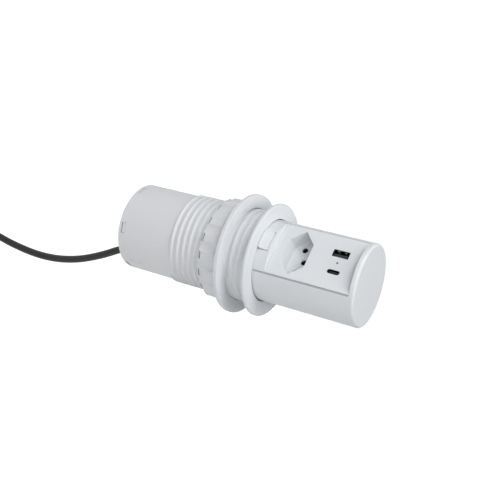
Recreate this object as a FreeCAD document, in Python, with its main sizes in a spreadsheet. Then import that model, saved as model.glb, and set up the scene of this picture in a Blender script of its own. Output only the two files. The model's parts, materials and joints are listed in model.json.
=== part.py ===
"""Desk socket tower: a round pop-up tower with a recessed mains socket and two charging ports.

It slides in a threaded sleeve that hangs in a round desk hole, held by a collar above and a ring nut below.
Millimetres. The axis is Z, the desk's top is z = 0, and the flat face with the socket looks towards -Y.
"""
import FreeCAD, Part
import Sketcher
import math
import os
import re

Vector = FreeCAD.Vector

SIZES = (
    ("tower_radius", 30.0, "outer radius of the round tower"),
    ("shell_wall", 2.0, "wall of the tower's shells"),
    ("flat_cut", 7.8, "how deep the flat face is cut into the round"),
    ("flat_offset", "=tower_radius - flat_cut", "distance of the flat face from the axis"),
    ("face_thick", 2.0, "thickness of the face plate"),
    ("face_edge", 0.4, "thickness of the face plate where it covers the shells' edges"),
    ("edge_gap", 0.4, "gap between the front mouldings and the back shell's edges"),
    ("seam_gap", 0.2, "gap at a seam between two fixed mouldings"),
    ("tower_rise", 74.6, "top of the shells above the desk when the tower is up"),
    ("cap_thick", 3.7, "thickness of the round cap"),
    ("cap_round", 1.8, "radius of the cap's upper edge"),
    ("cap_spigot_depth", 3.2, "how far the cap's rim reaches into the shells"),
    ("ledge_rise", 11.2, "ledge between the round foot and the flat face"),
    ("ledge_thick", 1.3, "thickness of the ledge"),
    ("foot_drop", 28.0, "how far the foot stays below the desk when the tower is up"),
    ("base_thick", 2.0, "thickness of the tower's bottom plate"),
    ("slide_travel", 72.0, "how far the tower goes down"),
    ("screw_inset", 5.2, "distance of the bottom plate's screws from the tower's side"),
    ("screw_circle", "=tower_radius - screw_inset", "distance of the screws from the axis"),
    ("screw_boss_radius", 3.6, "radius of a screw boss"),
    ("screw_boss_tall", 16.0, "height of a screw boss"),
    ("screw_shank_radius", 1.1, "radius of a screw's shank"),
    ("screw_head_radius", 2.2, "radius of a screw's head"),
    ("screw_head_tall", 1.4, "height of a screw's head"),
    ("screw_shank_long", 10.0, "length of a screw's shank"),
    ("key_width", 5.0, "width of a guide key on the tower's side"),
    ("key_reach", 1.9, "how far a guide key stands out"),
    ("key_tall", 6.0, "height of a guide key"),
    ("stop_gap", 0.3, "gap between the keys and their stop when the tower is up"),
    ("glide_gap", 0.3, "gap between sliding pieces"),
    ("bore_gap", 1.2, "gap between the tower and the sleeve's bore"),
    ("collar_width", 12.0, "how far the collar reaches past the tower"),
    ("collar_radius", "=tower_radius + collar_width", "outer radius of the collar"),
    ("collar_thick", 2.2, "thickness of the collar on the desk"),
    ("collar_round", 0.8, "radius of the collar's upper edges"),
    ("lip_gap", 0.7, "gap between the tower and the collar's lip"),
    ("lip_drop", 1.0, "how far the lip reaches below the desk's top"),
    ("spigot_wall", 0.8, "wall of the collar's spigot"),
    ("spigot_depth", 6.0, "how far the spigot reaches into the sleeve"),
    ("press_gap", 0.05, "gap between pieces that are pressed together"),
    ("seat_rise", 0.3, "how far the sleeve's upper end goes into the collar"),
    ("sleeve_wall", 2.1, "wall of the sleeve at the thread's root"),
    ("sleeve_radius", "=tower_radius + bore_gap + sleeve_wall", "outer radius of the sleeve"),
    ("sleeve_depth", 113.0, "depth of the sleeve below the desk's top"),
    ("shoulder_depth", 4.0, "plain shoulder under the collar"),
    ("thread_height", 1.25, "height of the thread's ridge"),
    ("thread_pitch", 5.0, "pitch of the thread"),
    ("ridge_base", 3.7, "width of the thread's ridge at its root"),
    ("ridge_crest", 1.0, "width of the thread's ridge at its crest"),
    ("ridge_sink", 0.3, "how far the thread's ridge starts inside the sleeve's wall"),
    ("thread_depth", 68.7, "where the thread starts, below the desk's top"),
    ("thread_turns", 12.4, "turns of the sleeve's thread"),
    ("thread_play", 0.35, "play between the nut's thread and the sleeve's"),
    ("window_count", 6, "snap windows around the sleeve's lower end"),
    ("window_width", 8.0, "width of a snap window"),
    ("window_turn", 55.8, "angle from +X back to the first snap window"),
    ("window_lift", 1.6, "height of a snap window above the sleeve's lower end"),
    ("window_low", "=sleeve_depth - window_lift", "lower edge of a snap window"),
    ("window_tall", 4.0, "height of a snap window"),
    ("hook_tall", 2.4, "height of a snap hook"),
    ("pocket_turn", 10.5, "angle from +X back to the two shallow pockets"),
    ("pocket_width", 4.5, "width of a shallow pocket"),
    ("pocket_depth", 0.4, "depth of a shallow pocket"),
    ("pocket_low", 104.2, "lower edge of the lower pocket, below the desk's top"),
    ("pocket_tall", 2.8, "height of the lower pocket"),
    ("pocket_bar", 2.4, "height of the bar between the pockets"),
    ("pocket_high_tall", 4.6, "height of the upper pocket"),
    ("bottom_thick", 2.5, "thickness of the sleeve's bottom cap"),
    ("bottom_skirt", 9.0, "height of the bottom cap with its skirt"),
    ("bottom_wall", 1.4, "wall of the bottom cap's skirt"),
    ("catch_width", 15.0, "width of the release catch"),
    ("catch_tall", 6.9, "height of the release catch"),
    ("catch_lift", 0.4, "gap between the catch and the collar"),
    ("catch_reach", 2.1, "how far the catch's lower edge stands out"),
    ("catch_edge", 1.0, "height of the catch's upright lower edge"),
    ("catch_travel", 2.3, "how far the catch goes in"),
    ("catch_round", 1.2, "radius of the catch's corners"),
    ("catch_inset", 5.0, "how deep the catch reaches into the tower"),
    ("catch_depth", "=tower_radius - catch_inset", "distance of the catch's rear from the axis"),
    ("catch_flange", 1.0, "thickness of the catch's flange"),
    ("catch_flange_side", 1.7, "how far the flange reaches past the catch's sides"),
    ("bridge_thick", 1.2, "thickness of the spring's seat"),
    ("spring_room", 3.6, "room for the spring between the catch and its seat"),
    ("bridge_offset", "=catch_depth - spring_room - bridge_thick", "distance of the spring's seat"),
    ("spring_foot", 7.0, "half the length of the catch's leaf spring"),
    ("spring_rest", 2.0, "length of each of the spring's ends on the seat"),
    ("spring_crown", 1.5, "half the length of the spring's crown behind the catch"),
    ("spring_leaf", 0.4, "thickness of the spring's leaf"),
    ("spring_tall", 4.0, "height of the spring's leaf"),
    ("desk_gap", 18.0, "thickness of the desk that the nut is set for"),
    ("washer_gap", 0.4, "gap between the washer and the thread"),
    ("washer_width", 9.85, "width of the clamp washer's ring"),
    ("washer_radius", "=sleeve_radius + thread_height + washer_gap + washer_width", "outer radius"),
    ("washer_thick", 3.5, "thickness of the clamp washer"),
    ("washer_round", 0.7, "radius of the clamp washer's edges"),
    ("nut_wall", 4.7, "wall of the ring nut outside the sleeve"),
    ("nut_radius", "=sleeve_radius + nut_wall", "outer radius of the ring nut"),
    ("nut_tall", 17.1, "height of the ring nut"),
    ("nut_slope_tall", 0.6, "height of the slope at the nut's lower edge"),
    ("nut_slope_deep", 0.5, "how far the slope draws in at the nut's lower edge"),
    ("nut_gap", 0.2, "gap between the nut's bore and the thread's crest"),
    ("nut_seat_gap", 0.1, "gap between the nut and the washer"),
    ("nut_groove_turns", 6.5, "turns of the nut's thread, past both of its ends"),
    ("grip_count", 18, "lobes around the nut"),
    ("grip_depth", 1.2, "depth of the hollow between two lobes"),
    ("grip_radius", 8.0, "radius of the hollow between two lobes"),
    ("slit_width", 5.6, "width of the slit near a lobe's lower end"),
    ("slit_lift", 0.7, "height of a slit above the nut's lower end"),
    ("slit_tall", 1.3, "height of a slit"),
    ("slit_depth", 2.4, "depth of a slit"),
    ("hex_long", 35.8, "length of the socket's hexagonal recess"),
    ("hex_wide", 17.8, "height of the recess"),
    ("hex_side", 18.0, "length of the recess's upper and lower sides"),
    ("hex_lift", 16.7, "middle of the recess above the ledge"),
    ("hex_rise", "=ledge_rise + hex_lift", "middle of the recess above the desk"),
    ("recess_depth", 12.5, "depth of the recess"),
    ("cup_wall", 1.4, "wall of the recess's cup"),
    ("cup_floor", 1.5, "floor of the recess's cup"),
    ("pin_hole_radius", 2.2, "radius of the socket's holes"),
    ("pin_spacing", 19.0, "distance between the line and neutral holes"),
    ("pin_drop", 1.0, "how far the line and neutral holes lie below the recess's middle"),
    ("earth_offset", 3.0, "how far the earth hole lies above the other two"),
    ("pin_depth", 19.0, "length of a plug's pin"),
    ("contact_wall", 0.8, "wall of a contact sleeve"),
    ("contact_end", 0.6, "gap behind a plug's pin, and thickness of a contact's end"),
    ("carrier_width", 34.0, "width of the contact carrier"),
    ("carrier_tall", 15.0, "height of the contact carrier"),
    ("cover_thick", 1.6, "thickness of the contact cover"),
    ("tail_radius", 1.2, "radius of a contact's tail"),
    ("tail_long", 5.5, "length of a contact's tail"),
    ("port_drop", 16.5, "distance of the charging ports' middle below the shells' top"),
    ("port_rise", "=tower_rise - port_drop", "middle of the charging ports above the desk"),
    ("port_set_back", 0.2, "how far a port's shell lies behind the face"),
    ("port_fit", 0.1, "gap around a port's shell"),
    ("wide_port_side", 7.2, "distance of the wide port from the face's middle"),
    ("wide_port_width", 5.4, "width of the wide port's shell"),
    ("wide_port_tall", 11.9, "height of the wide port's shell"),
    ("wide_port_wall", 0.4, "wall of the wide port's shell"),
    ("wide_tongue_width", 1.9, "thickness of the wide port's tongue"),
    ("slim_port_side", 7.3, "distance of the slim port from the face's middle"),
    ("slim_port_width", 3.2, "width of the slim port's shell"),
    ("slim_port_tall", 9.0, "height of the slim port's shell"),
    ("slim_port_wall", 0.3, "wall of the slim port's shell"),
    ("slim_tongue_width", 0.7, "thickness of the slim port's tongue"),
    ("light_radius", 0.8, "radius of the status light's hole"),
    ("board_inset", 14.3, "distance of the charger board's front behind the flat face"),
    ("board_offset", "=flat_offset - board_inset", "distance of the board's front from the axis"),
    ("board_thick", 1.6, "thickness of the charger board"),
    ("board_width", 27.0, "width of the charger board"),
    ("board_tall", 26.0, "height of the charger board"),
    ("core_width", 20.0, "width of the transformer's core"),
    ("core_tall", 16.0, "height of the transformer's core"),
    ("core_depth", 14.0, "depth of the transformer's core"),
    ("core_lift", 2.7, "how far the core's middle lies above the ports' middle"),
    ("winding_wall", 3.0, "thickness of the winding round the core's middle"),
    ("capacitor_radius", 3.6, "radius of a capacitor"),
    ("capacitor_long", 13.0, "length of a capacitor"),
    ("block_width", 28.0, "width of the terminal block"),
    ("block_depth", 11.0, "depth of the terminal block"),
    ("block_tall", 11.0, "height of the terminal block without its feet"),
    ("block_foot", 5.0, "height of the terminal block's feet"),
    ("lead_side", 4.0, "how far the tower's lead enters in front of the block's middle"),
    ("lead_radius", 2.2, "radius of the limp lead inside the sleeve"),
    ("wire_radius", 1.1, "radius of a single wire"),
    ("grommet_radius", 4.4, "radius of the grommet's neck"),
    ("grommet_flange", 1.4, "thickness of a grommet's flange"),
    ("cord_radius", 3.0, "radius of the mains cord"),
    ("gland_inset", 11.0, "how far the cord's gland lies inside the tower's radius"),
    ("gland_offset", "=tower_radius - gland_inset", "distance of the cord's gland from the axis"),
    ("gland_stem_radius", 4.5, "radius of the gland's stem"),
    ("gland_flange_radius", 6.8, "radius of the gland's flange"),
    ("gland_flange", 1.6, "thickness of the gland's flange"),
    ("gland_nose", 2.2, "length of the gland's nose below its flange"),
    ("gland_nut_tall", 3.0, "height of the gland's lock nut"),
    ("gland_nut_radius", 7.6, "corner radius of the gland's lock nut"),
    ("gland_stem_long", 6.5, "length of the gland's stem inside the sleeve"),
    ("gland_stem_top", "=sleeve_depth - gland_stem_long", "top of the gland's stem"),
    ("plug_pin_radius", 2.0, "radius of the plug's pins"),
    ("plug_long", 30.0, "length of the plug's body"),
    ("plug_neck_long", 16.0, "length of the plug's tapered neck"),
    ("plug_margin", 0.35, "gap that the plug leaves in the recess"),
    ("plug_round", 2.0, "radius of the plug's edges beside its neck"),
    ("plug_pin_round", 0.8, "radius of a pin's end"),
    ("hank_run", 108.0, "length of the hank between its half turns"),
    ("hank_half", 22.5, "half the hank's width between its outer runs"),
    ("hank_gap", 0.95, "gap between the hank's runs"),
    ("hank_waist", 7.5, "how far each outer run is drawn in at the tie"),
    ("hank_tail", 14.0, "length of the cord between the hank and the plug"),
    ("tie_wall", 1.2, "thickness of the cord's tie"),
    ("tie_tall", 10.0, "height of the cord's tie"),
)

doc = FreeCAD.newDocument("desk_socket_tower")
sheet = doc.addObject("Spreadsheet::Sheet", "sizes")
for row, (alias, number, meaning) in enumerate(SIZES, start=1):
    sheet.set(f"A{row}", meaning)
    sheet.set(f"B{row}", str(number))
    sheet.setAlias(f"B{row}", alias)
doc.recompute()


def size(alias):
    """The number that the sheet holds for a size."""
    return float(sheet.get(alias))


def formula(words):
    """An expression in which each plain word is the sheet's size of that name."""
    return re.sub(r"\b([a-z][a-z_]+)\b(?!\()", r"sizes.\1", str(words))


def less(words):
    """The negative of a formula."""
    return f"-({words})"


def place(item, x, y, z, turn=None):
    """Puts an object where three formulas say, turned first if a turn is given."""
    if turn is not None:
        item.Placement = FreeCAD.Placement(Vector(0, 0, 0), turn)
    item.setExpression("Placement.Base.x", formula(x))
    item.setExpression("Placement.Base.y", formula(y))
    item.setExpression("Placement.Base.z", formula(z))
    return item


def cylinder(name, radius, low, high, x="0", y="0"):
    """An upright cylinder between two heights."""
    item = doc.addObject("Part::Cylinder", name)
    item.setExpression("Radius", formula(radius))
    item.setExpression("Height", formula(f"({high}) - ({low})"))
    return place(item, x, y, low)


def rod(name, radius, x, z, front, back):
    """A cylinder along Y, from its front end to its back end."""
    item = doc.addObject("Part::Cylinder", name)
    item.setExpression("Radius", formula(radius))
    item.setExpression("Height", formula(f"({back}) - ({front})"))
    return place(item, x, front, z, FreeCAD.Rotation(Vector(1, 0, 0), -90))


def cone(name, low_radius, high_radius, low, high, x="0", y="0"):
    """An upright cone's frustum between two heights."""
    item = doc.addObject("Part::Cone", name)
    item.setExpression("Radius1", formula(low_radius))
    item.setExpression("Radius2", formula(high_radius))
    item.setExpression("Height", formula(f"({high}) - ({low})"))
    return place(item, x, y, low)


def box(name, x_span, y_span, z_span):
    """A box between two formulas along each axis."""
    item = doc.addObject("Part::Box", name)
    item.setExpression("Length", formula(f"({x_span[1]}) - ({x_span[0]})"))
    item.setExpression("Width", formula(f"({y_span[1]}) - ({y_span[0]})"))
    item.setExpression("Height", formula(f"({z_span[1]}) - ({z_span[0]})"))
    return place(item, x_span[0], y_span[0], z_span[0])


def both_sides(half):
    """A span that reaches as far to each side of zero."""
    return f"-({half})", f"({half})"


def around(radius, degrees):
    """Formulas for the X and Y of a point on a circle; the angle counts from +X towards +Y."""
    across = f"({radius}) * ({math.cos(math.radians(degrees)):.9f})"
    along = f"({radius}) * ({math.sin(math.radians(degrees)):.9f})"
    return across, along


def radial_box(name, degrees, inner, outer, width, low, high):
    """A box that points away from the axis at an angle."""
    item = doc.addObject("Part::Box", name)
    item.setExpression("Length", formula(f"({outer}) - ({inner})"))
    item.setExpression("Width", formula(width))
    item.setExpression("Height", formula(f"({high}) - ({low})"))
    inner_x, inner_y = around(inner, degrees)
    side_x, side_y = around(f"({width}) / 2", degrees - 90)
    turn = FreeCAD.Rotation(Vector(0, 0, 1), degrees)
    return place(item, f"{inner_x} + {side_x}", f"{inner_y} + {side_y}", low, turn)


def cut(name, base, *tools):
    """The base without each tool in turn."""
    for number, tool in enumerate(tools, start=1):
        last = number == len(tools)
        item = doc.addObject("Part::Cut", name if last else f"{name}_step_{number}")
        item.Base = base
        item.Tool = tool
        base = item
    return base


def join(name, *items):
    """One solid from several that overlap or touch."""
    item = doc.addObject("Part::MultiFuse", name)
    item.Shapes = list(items)
    item.Refine = True
    return item


def shared(name, *items):
    """What several solids have in common."""
    item = doc.addObject("Part::MultiCommon", name)
    item.Shapes = list(items)
    return item


def group(name, items):
    """Several separate solids as one object."""
    item = doc.addObject("Part::Compound", name)
    item.Links = list(items)
    return item


def ring(name, outer, inner, low, high, x="0", y="0"):
    """A tube between two radii and two heights."""
    solid = cylinder(f"{name}_outside", outer, low, high, x, y)
    bore = cylinder(f"{name}_inside", inner, f"({low}) - 1", f"({high}) + 1", x, y)
    return cut(name, solid, bore)


def outline(sketch, points):
    """Fills a sketch with a closed outline; each corner's two distances follow the sheet."""
    count = len(points)
    start = []
    for index in range(count):
        turn = 2 * math.pi * index / count
        start.append(Vector(50 + 20 * math.cos(turn), 20 * math.sin(turn), 0))
    for index in range(count):
        sketch.addGeometry(Part.LineSegment(start[index], start[(index + 1) % count]), False)
    for index in range(count):
        sketch.addConstraint(Sketcher.Constraint("Coincident", index, 2, (index + 1) % count, 1))
    for index, corner in enumerate(points):
        for axis, words in zip("XY", corner):
            place_now = start[index].x if axis == "X" else start[index].y
            rule = Sketcher.Constraint(f"Distance{axis}", -1, 1, index, 1, place_now)
            number = sketch.addConstraint(rule)
            sketch.renameConstraint(number, f"corner_{index}_{axis.lower()}")
            sketch.setExpression(f"Constraints.corner_{index}_{axis.lower()}", formula(words))


def turned(name, points):
    """A body turned about Z from an outline of radii and heights."""
    body = doc.addObject("PartDesign::Body", name)
    sketch = body.newObject("Sketcher::SketchObject", f"{name}_outline")
    plane = [item for item in body.Origin.OriginFeatures if item.Role == "XZ_Plane"][0]
    sketch.AttachmentSupport = [(plane, "")]
    sketch.MapMode = "FlatFace"
    outline(sketch, points)
    feature = body.newObject("PartDesign::Revolution", f"{name}_turning")
    feature.Profile = sketch
    feature.ReferenceAxis = (sketch, ["V_Axis"])
    feature.Angle = 360
    return body


def extruded(name, points, front, back):
    """An outline in X and Z, drawn out along Y."""
    sketch = doc.addObject("Sketcher::SketchObject", f"{name}_outline")
    place(sketch, "0", front, "0", FreeCAD.Rotation(Vector(1, 0, 0), 90))
    outline(sketch, points)
    item = doc.addObject("Part::Extrusion", name)
    item.Base = sketch
    item.DirMode = "Custom"
    item.Dir = Vector(0, 1, 0)
    item.Solid = True
    item.setExpression("LengthFwd", formula(f"({back}) - ({front})"))
    return item


def ridge(name, points, path_radius, start, turns):
    """A right-handed helical ridge; its outline is drawn at angle 0, in radii and heights."""
    sketch = doc.addObject("Sketcher::SketchObject", f"{name}_outline")
    place(sketch, "0", "0", start, FreeCAD.Rotation(Vector(1, 0, 0), 90))
    outline(sketch, points)
    path = doc.addObject("Part::Helix", f"{name}_path")
    path.setExpression("Pitch", formula("thread_pitch"))
    path.setExpression("Height", formula(f"thread_pitch * {turns}"))
    path.setExpression("Radius", formula(path_radius))
    place(path, "0", "0", start)
    item = doc.addObject("Part::Sweep", name)
    item.Sections = [sketch]
    item.Spine = (path, [])
    item.Solid = True
    item.Frenet = True
    return item


def rounded(name, base, radius, wanted):
    """Rounds each edge of the base that a test picks."""
    doc.recompute()
    item = doc.addObject("Part::Fillet", name)
    item.Base = base
    chosen = [number for number, edge in enumerate(base.Shape.Edges, start=1) if wanted(edge)]
    item.Edges = [(number, radius, radius) for number in chosen]
    return item


def circle_at(radius, height):
    """A test for edges that lie on a circle about the axis at a height."""
    def wanted(edge):
        if not isinstance(edge.Curve, Part.Circle):
            return False
        right_size = abs(edge.Curve.Radius - radius) < 0.01
        return right_size and abs(edge.Curve.Center.z - height) < 0.01
    return wanted


def along_y(edge):
    """True for a straight edge that runs along Y."""
    if not isinstance(edge.Curve, Part.Line):
        return False
    return abs(abs(edge.Curve.Direction.y) - 1) < 1e-6


def solid_object(name, shape):
    """An object whose shape comes from the sheet's numbers."""
    item = doc.addObject("Part::Feature", name)
    item.Shape = shape
    item.Placement = shape.Placement
    return item


def pipe(edges, radius):
    """A round solid along a path that starts and ends straight."""
    path = Part.Wire(edges)
    first = edges[0]
    start = first.valueAt(first.FirstParameter)
    heading = first.tangentAt(first.FirstParameter)
    section = Part.Wire([Part.makeCircle(radius, start, heading)])
    return path.makePipeShell([section], True, False)


def routed(name, points, radius, least_diameters):
    """A cord along straight runs joined by arcs, each as large as its two runs allow."""
    edges = []
    here = points[0]
    radii = []
    for before, corner, after in zip(points, points[1:], points[2:]):
        back = before - corner
        ahead = after - corner
        half_turn = (math.pi - back.getAngle(ahead)) / 2
        reach = 0.45 * min(back.Length, ahead.Length)
        bend = reach / math.tan(half_turn)
        radii.append(bend)
        back.normalize()
        ahead.normalize()
        enter = corner + back * reach
        leave = corner + ahead * reach
        inward = back + ahead
        inward.normalize()
        middle = corner + inward * (bend / math.cos(half_turn) - bend)
        edges.append(Part.LineSegment(here, enter).toShape())
        edges.append(Part.Arc(enter, middle, leave).toShape())
        here = leave
    edges.append(Part.LineSegment(here, points[-1]).toShape())
    shape = pipe(edges, radius)
    length = sum(edge.Length for edge in edges)
    expected = math.pi * radius ** 2 * length
    print(f"{name}: length {length:.1f}, radii {[round(bend, 1) for bend in radii]},",
          f"least wanted {least_diameters * 2 * radius:.1f},",
          f"volume {shape.Volume:.1f} of {expected:.1f}")
    return solid_object(name, shape)


def tangent_arc(start, heading, end):
    """The arc that leaves its start along a heading and meets its end; also its heading there."""
    chord = end - start
    ahead = chord.dot(heading)
    aside = chord - heading * ahead
    offset = aside.Length
    aside.normalize()
    bend = chord.dot(chord) / (2 * offset)
    half_turn = math.atan2(offset, ahead)
    middle = start + heading * (bend * math.sin(half_turn)) + aside * (bend * (1 - math.cos(half_turn)))
    final = heading * math.cos(2 * half_turn) + aside * math.sin(2 * half_turn)
    return Part.Arc(start, middle, end).toShape(), final


def least_gap(edges, radius):
    """The least gap between stretches of one tube that are not neighbours along it."""
    samples = []
    travelled = 0.0
    for edge in edges:
        count = max(2, round(edge.Length / 2.5))
        for point in edge.discretize(Number=count + 1)[:-1]:
            samples.append((travelled, point))
            travelled += edge.Length / count
    closest = 1e9
    for number, (here, first) in enumerate(samples):
        for there, second in samples[number + 1:]:
            if there - here > 8 * radius:
                closest = min(closest, first.distanceToPoint(second))
    return closest - 2 * radius


nodes = []


def node(name, item):
    """Gives an object the name of its piece and lists it for the parts folder."""
    item.Label = name
    nodes.append(item)
    return item


# Places that several pieces share, as formulas of the sheet's sizes
cap_top = "(tower_rise + cap_thick)"
foot_low = "(0 - foot_drop)"
shell_inside = "(tower_radius - shell_wall)"
face_back = "(0 - flat_offset + face_thick)"
edge_back = "(0 - flat_offset + face_edge)"
split = "(0 - flat_offset + face_edge + edge_gap)"
inside_shells = "(tower_radius - shell_wall - seam_gap)"
bore = "(tower_radius + bore_gap)"
lip = "(tower_radius + lip_gap)"
spigot_outside = "(tower_radius + bore_gap + spigot_wall)"
crest = "(sleeve_radius + thread_height)"
sleeve_low = "(0 - sleeve_depth)"
bottom_inside = "(bottom_thick - sleeve_depth)"
catch_low = "(collar_thick + catch_lift)"
catch_high = "(collar_thick + catch_lift + catch_tall)"
floor_front = "(recess_depth - flat_offset)"
floor_back = "(recess_depth - flat_offset + cup_floor)"
contact_back = "(recess_depth - flat_offset + pin_depth + 2 * contact_end)"
cover_back = "(recess_depth - flat_offset + pin_depth + 2 * contact_end + cover_thick)"
tail_back = "(recess_depth - flat_offset + pin_depth + 2 * contact_end + tail_long)"
pin_row = "(hex_rise - pin_drop)"
board_front = "(0 - board_offset)"
board_back = "(board_thick - board_offset)"
gland_x = "(gland_offset * 0.8)"
gland_y = "(gland_offset * 0.6)"
block_low = "(base_thick + block_foot - foot_drop)"
block_high = "(base_thick + block_foot + block_tall - foot_drop)"
wire_y = "(recess_depth - flat_offset + pin_depth + 2 * contact_end + tail_long - 1.5 * tail_radius)"
SCREW_ANGLES = (20, 90, 160)
PIN_PLACES = (
    ("line", "(0 - pin_spacing / 2)", "0"),
    ("neutral", "(pin_spacing / 2)", "0"),
    ("earth", "0", "earth_offset"),
)


def housing_sleeve():
    """The threaded sleeve: plain shoulder, helical thread, grooves, snap windows, two shallow pockets."""
    tube = cylinder("sleeve_body", "sleeve_radius", sleeve_low, "seat_rise")
    shoulder = cylinder("sleeve_shoulder", crest, "0 - shoulder_depth", "seat_rise")
    thread = ridge("sleeve_thread", (
        ("sleeve_radius - ridge_sink", "0 - ridge_base / 2"),
        (crest, "0 - ridge_crest / 2"),
        (crest, "ridge_crest / 2"),
        ("sleeve_radius - ridge_sink", "ridge_base / 2"),
    ), "sleeve_radius", "0 - thread_depth", "thread_turns")
    inside = cylinder("sleeve_bore", bore, f"{sleeve_low} - 1", "1")
    rebate = cylinder("sleeve_rebate", f"{spigot_outside} + press_gap", "0 - spigot_depth", "1")
    groove_round = cylinder("catch_groove_round", "tower_radius + catch_reach + glide_gap",
                            f"{catch_low} - slide_travel - 1.5", "1")
    groove_sides = box("catch_groove_sides", both_sides("catch_width / 2 + 0.5"),
                       ("0 - collar_radius", "0 - catch_depth"), ("0 - sleeve_depth", "2"))
    key_round = cylinder("key_groove_round", "tower_radius + key_reach + glide_gap",
                         "0 - spigot_depth - stop_gap - key_tall - slide_travel - 1", "0 - spigot_depth")
    key_sides = box("key_groove_sides", both_sides("collar_radius"),
                    both_sides("key_width / 2 + glide_gap"), ("0 - sleeve_depth", "1"))
    windows = []
    count = round(size("window_count"))
    for index in range(count):
        degrees = 360 / count * index - size("window_turn")
        windows.append(radial_box(f"snap_window_{index + 1}", degrees, f"{bore} - 2", "sleeve_radius + 3",
                                  "window_width", "0 - window_low", "0 - window_low + window_tall"))
    pockets = []
    bar_high = "(pocket_tall + pocket_bar - pocket_low)"
    for name, low, high in (("lower", "(0 - pocket_low)", "(pocket_tall - pocket_low)"),
                            ("upper", bar_high, f"({bar_high} + pocket_high_tall)")):
        pockets.append(radial_box(f"pocket_{name}", -size("pocket_turn"), "sleeve_radius - pocket_depth",
                                  "sleeve_radius + 3", "pocket_width", low, high))
    solid = join("sleeve_solid", tube, shoulder, thread)
    groove = shared("catch_groove", groove_round, groove_sides)
    key_groove = shared("key_groove", key_round, key_sides)
    return cut("sleeve", solid, inside, rebate, groove, key_groove, group("snap_windows", windows),
               group("shallow_pockets", pockets))


def collar_ring():
    """The collar on the desk: a lip round the tower, a spigot and a seat for the sleeve's end."""
    flange = cylinder("collar_flange", "collar_radius", "0", "collar_thick")
    spigot = cylinder("collar_spigot", spigot_outside, "0 - spigot_depth", "0")
    opening = cylinder("collar_opening", lip, "0 - lip_drop - 1", "collar_thick + 1")
    hollow = cylinder("spigot_hollow", bore, "0 - spigot_depth - 1", "0 - lip_drop")
    notch = box("spigot_notch", both_sides("catch_width / 2 + 0.5"),
                ("0 - collar_radius", "0 - catch_depth"), ("0 - spigot_depth - 1", "0 - lip_drop"))
    seat = ring("collar_seat", f"{crest} + press_gap", spigot_outside, "0 - 1", "seat_rise")
    plain = cut("collar_plain", join("collar_solid", flange, spigot), opening, hollow, notch, seat)
    outer = circle_at(size("collar_radius"), size("collar_thick"))
    inner = circle_at(size("tower_radius") + size("lip_gap"), size("collar_thick"))
    return rounded("collar", plain, size("collar_round"), lambda edge: outer(edge) or inner(edge))


def bottom_cap():
    """The cap that snaps into the sleeve's lower end and carries the cord's gland."""
    outside = "(tower_radius + bore_gap - press_gap)"
    skirt = ring("bottom_skirt_ring", outside, f"{outside} - bottom_wall",
                 f"{bottom_inside} - 0.5", f"{sleeve_low} + bottom_skirt")
    disc = cylinder("bottom_disc", outside, sleeve_low, bottom_inside)
    hook_high = "(0 - window_low + window_tall - glide_gap)"
    hooks = []
    count = round(size("window_count"))
    for index in range(count):
        degrees = 360 / count * index - size("window_turn")
        hooks.append(radial_box(f"snap_hook_{index + 1}", degrees, f"{outside} - 1", "sleeve_radius - 0.4",
                                "window_width - 2 * glide_gap", f"{hook_high} - hook_tall", hook_high))
    hole = cylinder("gland_hole", "gland_stem_radius + press_gap", f"{sleeve_low} - 1",
                    f"{bottom_inside} + 1", gland_x, gland_y)
    return cut("bottom", join("bottom_solid", disc, skirt, *hooks), hole)


def cable_gland():
    """The gland's stem, flange and short nose, with the cord's bore through them."""
    stem = cylinder("gland_stem", "gland_stem_radius", sleeve_low, "0 - gland_stem_top", gland_x, gland_y)
    flange_low = f"({sleeve_low} - gland_flange)"
    flange = cylinder("gland_flange_disc", "gland_flange_radius", flange_low, sleeve_low, gland_x, gland_y)
    nose = cone("gland_nose_cone", "gland_stem_radius", "gland_stem_radius + 1",
                f"{flange_low} - gland_nose", flange_low, gland_x, gland_y)
    hole = cylinder("gland_bore", "cord_radius + press_gap", f"{flange_low} - gland_nose - 1",
                    "0 - gland_stem_top + 1", gland_x, gland_y)
    return cut("gland", join("gland_solid", stem, flange, nose), hole)


def gland_locknut():
    """The hexagonal nut that holds the gland in the bottom cap."""
    prism = doc.addObject("Part::Prism", "gland_nut_prism")
    prism.Polygon = 6
    prism.setExpression("Circumradius", formula("gland_nut_radius"))
    prism.setExpression("Height", formula("gland_nut_tall"))
    place(prism, gland_x, gland_y, bottom_inside)
    hole = cylinder("gland_nut_hole", "gland_stem_radius + press_gap", f"{bottom_inside} - 1",
                    f"{bottom_inside} + gland_nut_tall + 1", gland_x, gland_y)
    return cut("gland_nut", prism, hole)


def clamp_washer():
    """The plain ring that the nut pushes against the desk from below."""
    inner = f"({crest} + washer_gap)"
    plain = ring("washer_plain", "washer_radius", inner, "0 - desk_gap - washer_thick", "0 - desk_gap")
    low = circle_at(size("washer_radius"), -size("desk_gap") - size("washer_thick"))
    high = circle_at(size("washer_radius"), -size("desk_gap"))
    return rounded("washer", plain, size("washer_round"), lambda edge: low(edge) or high(edge))


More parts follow.
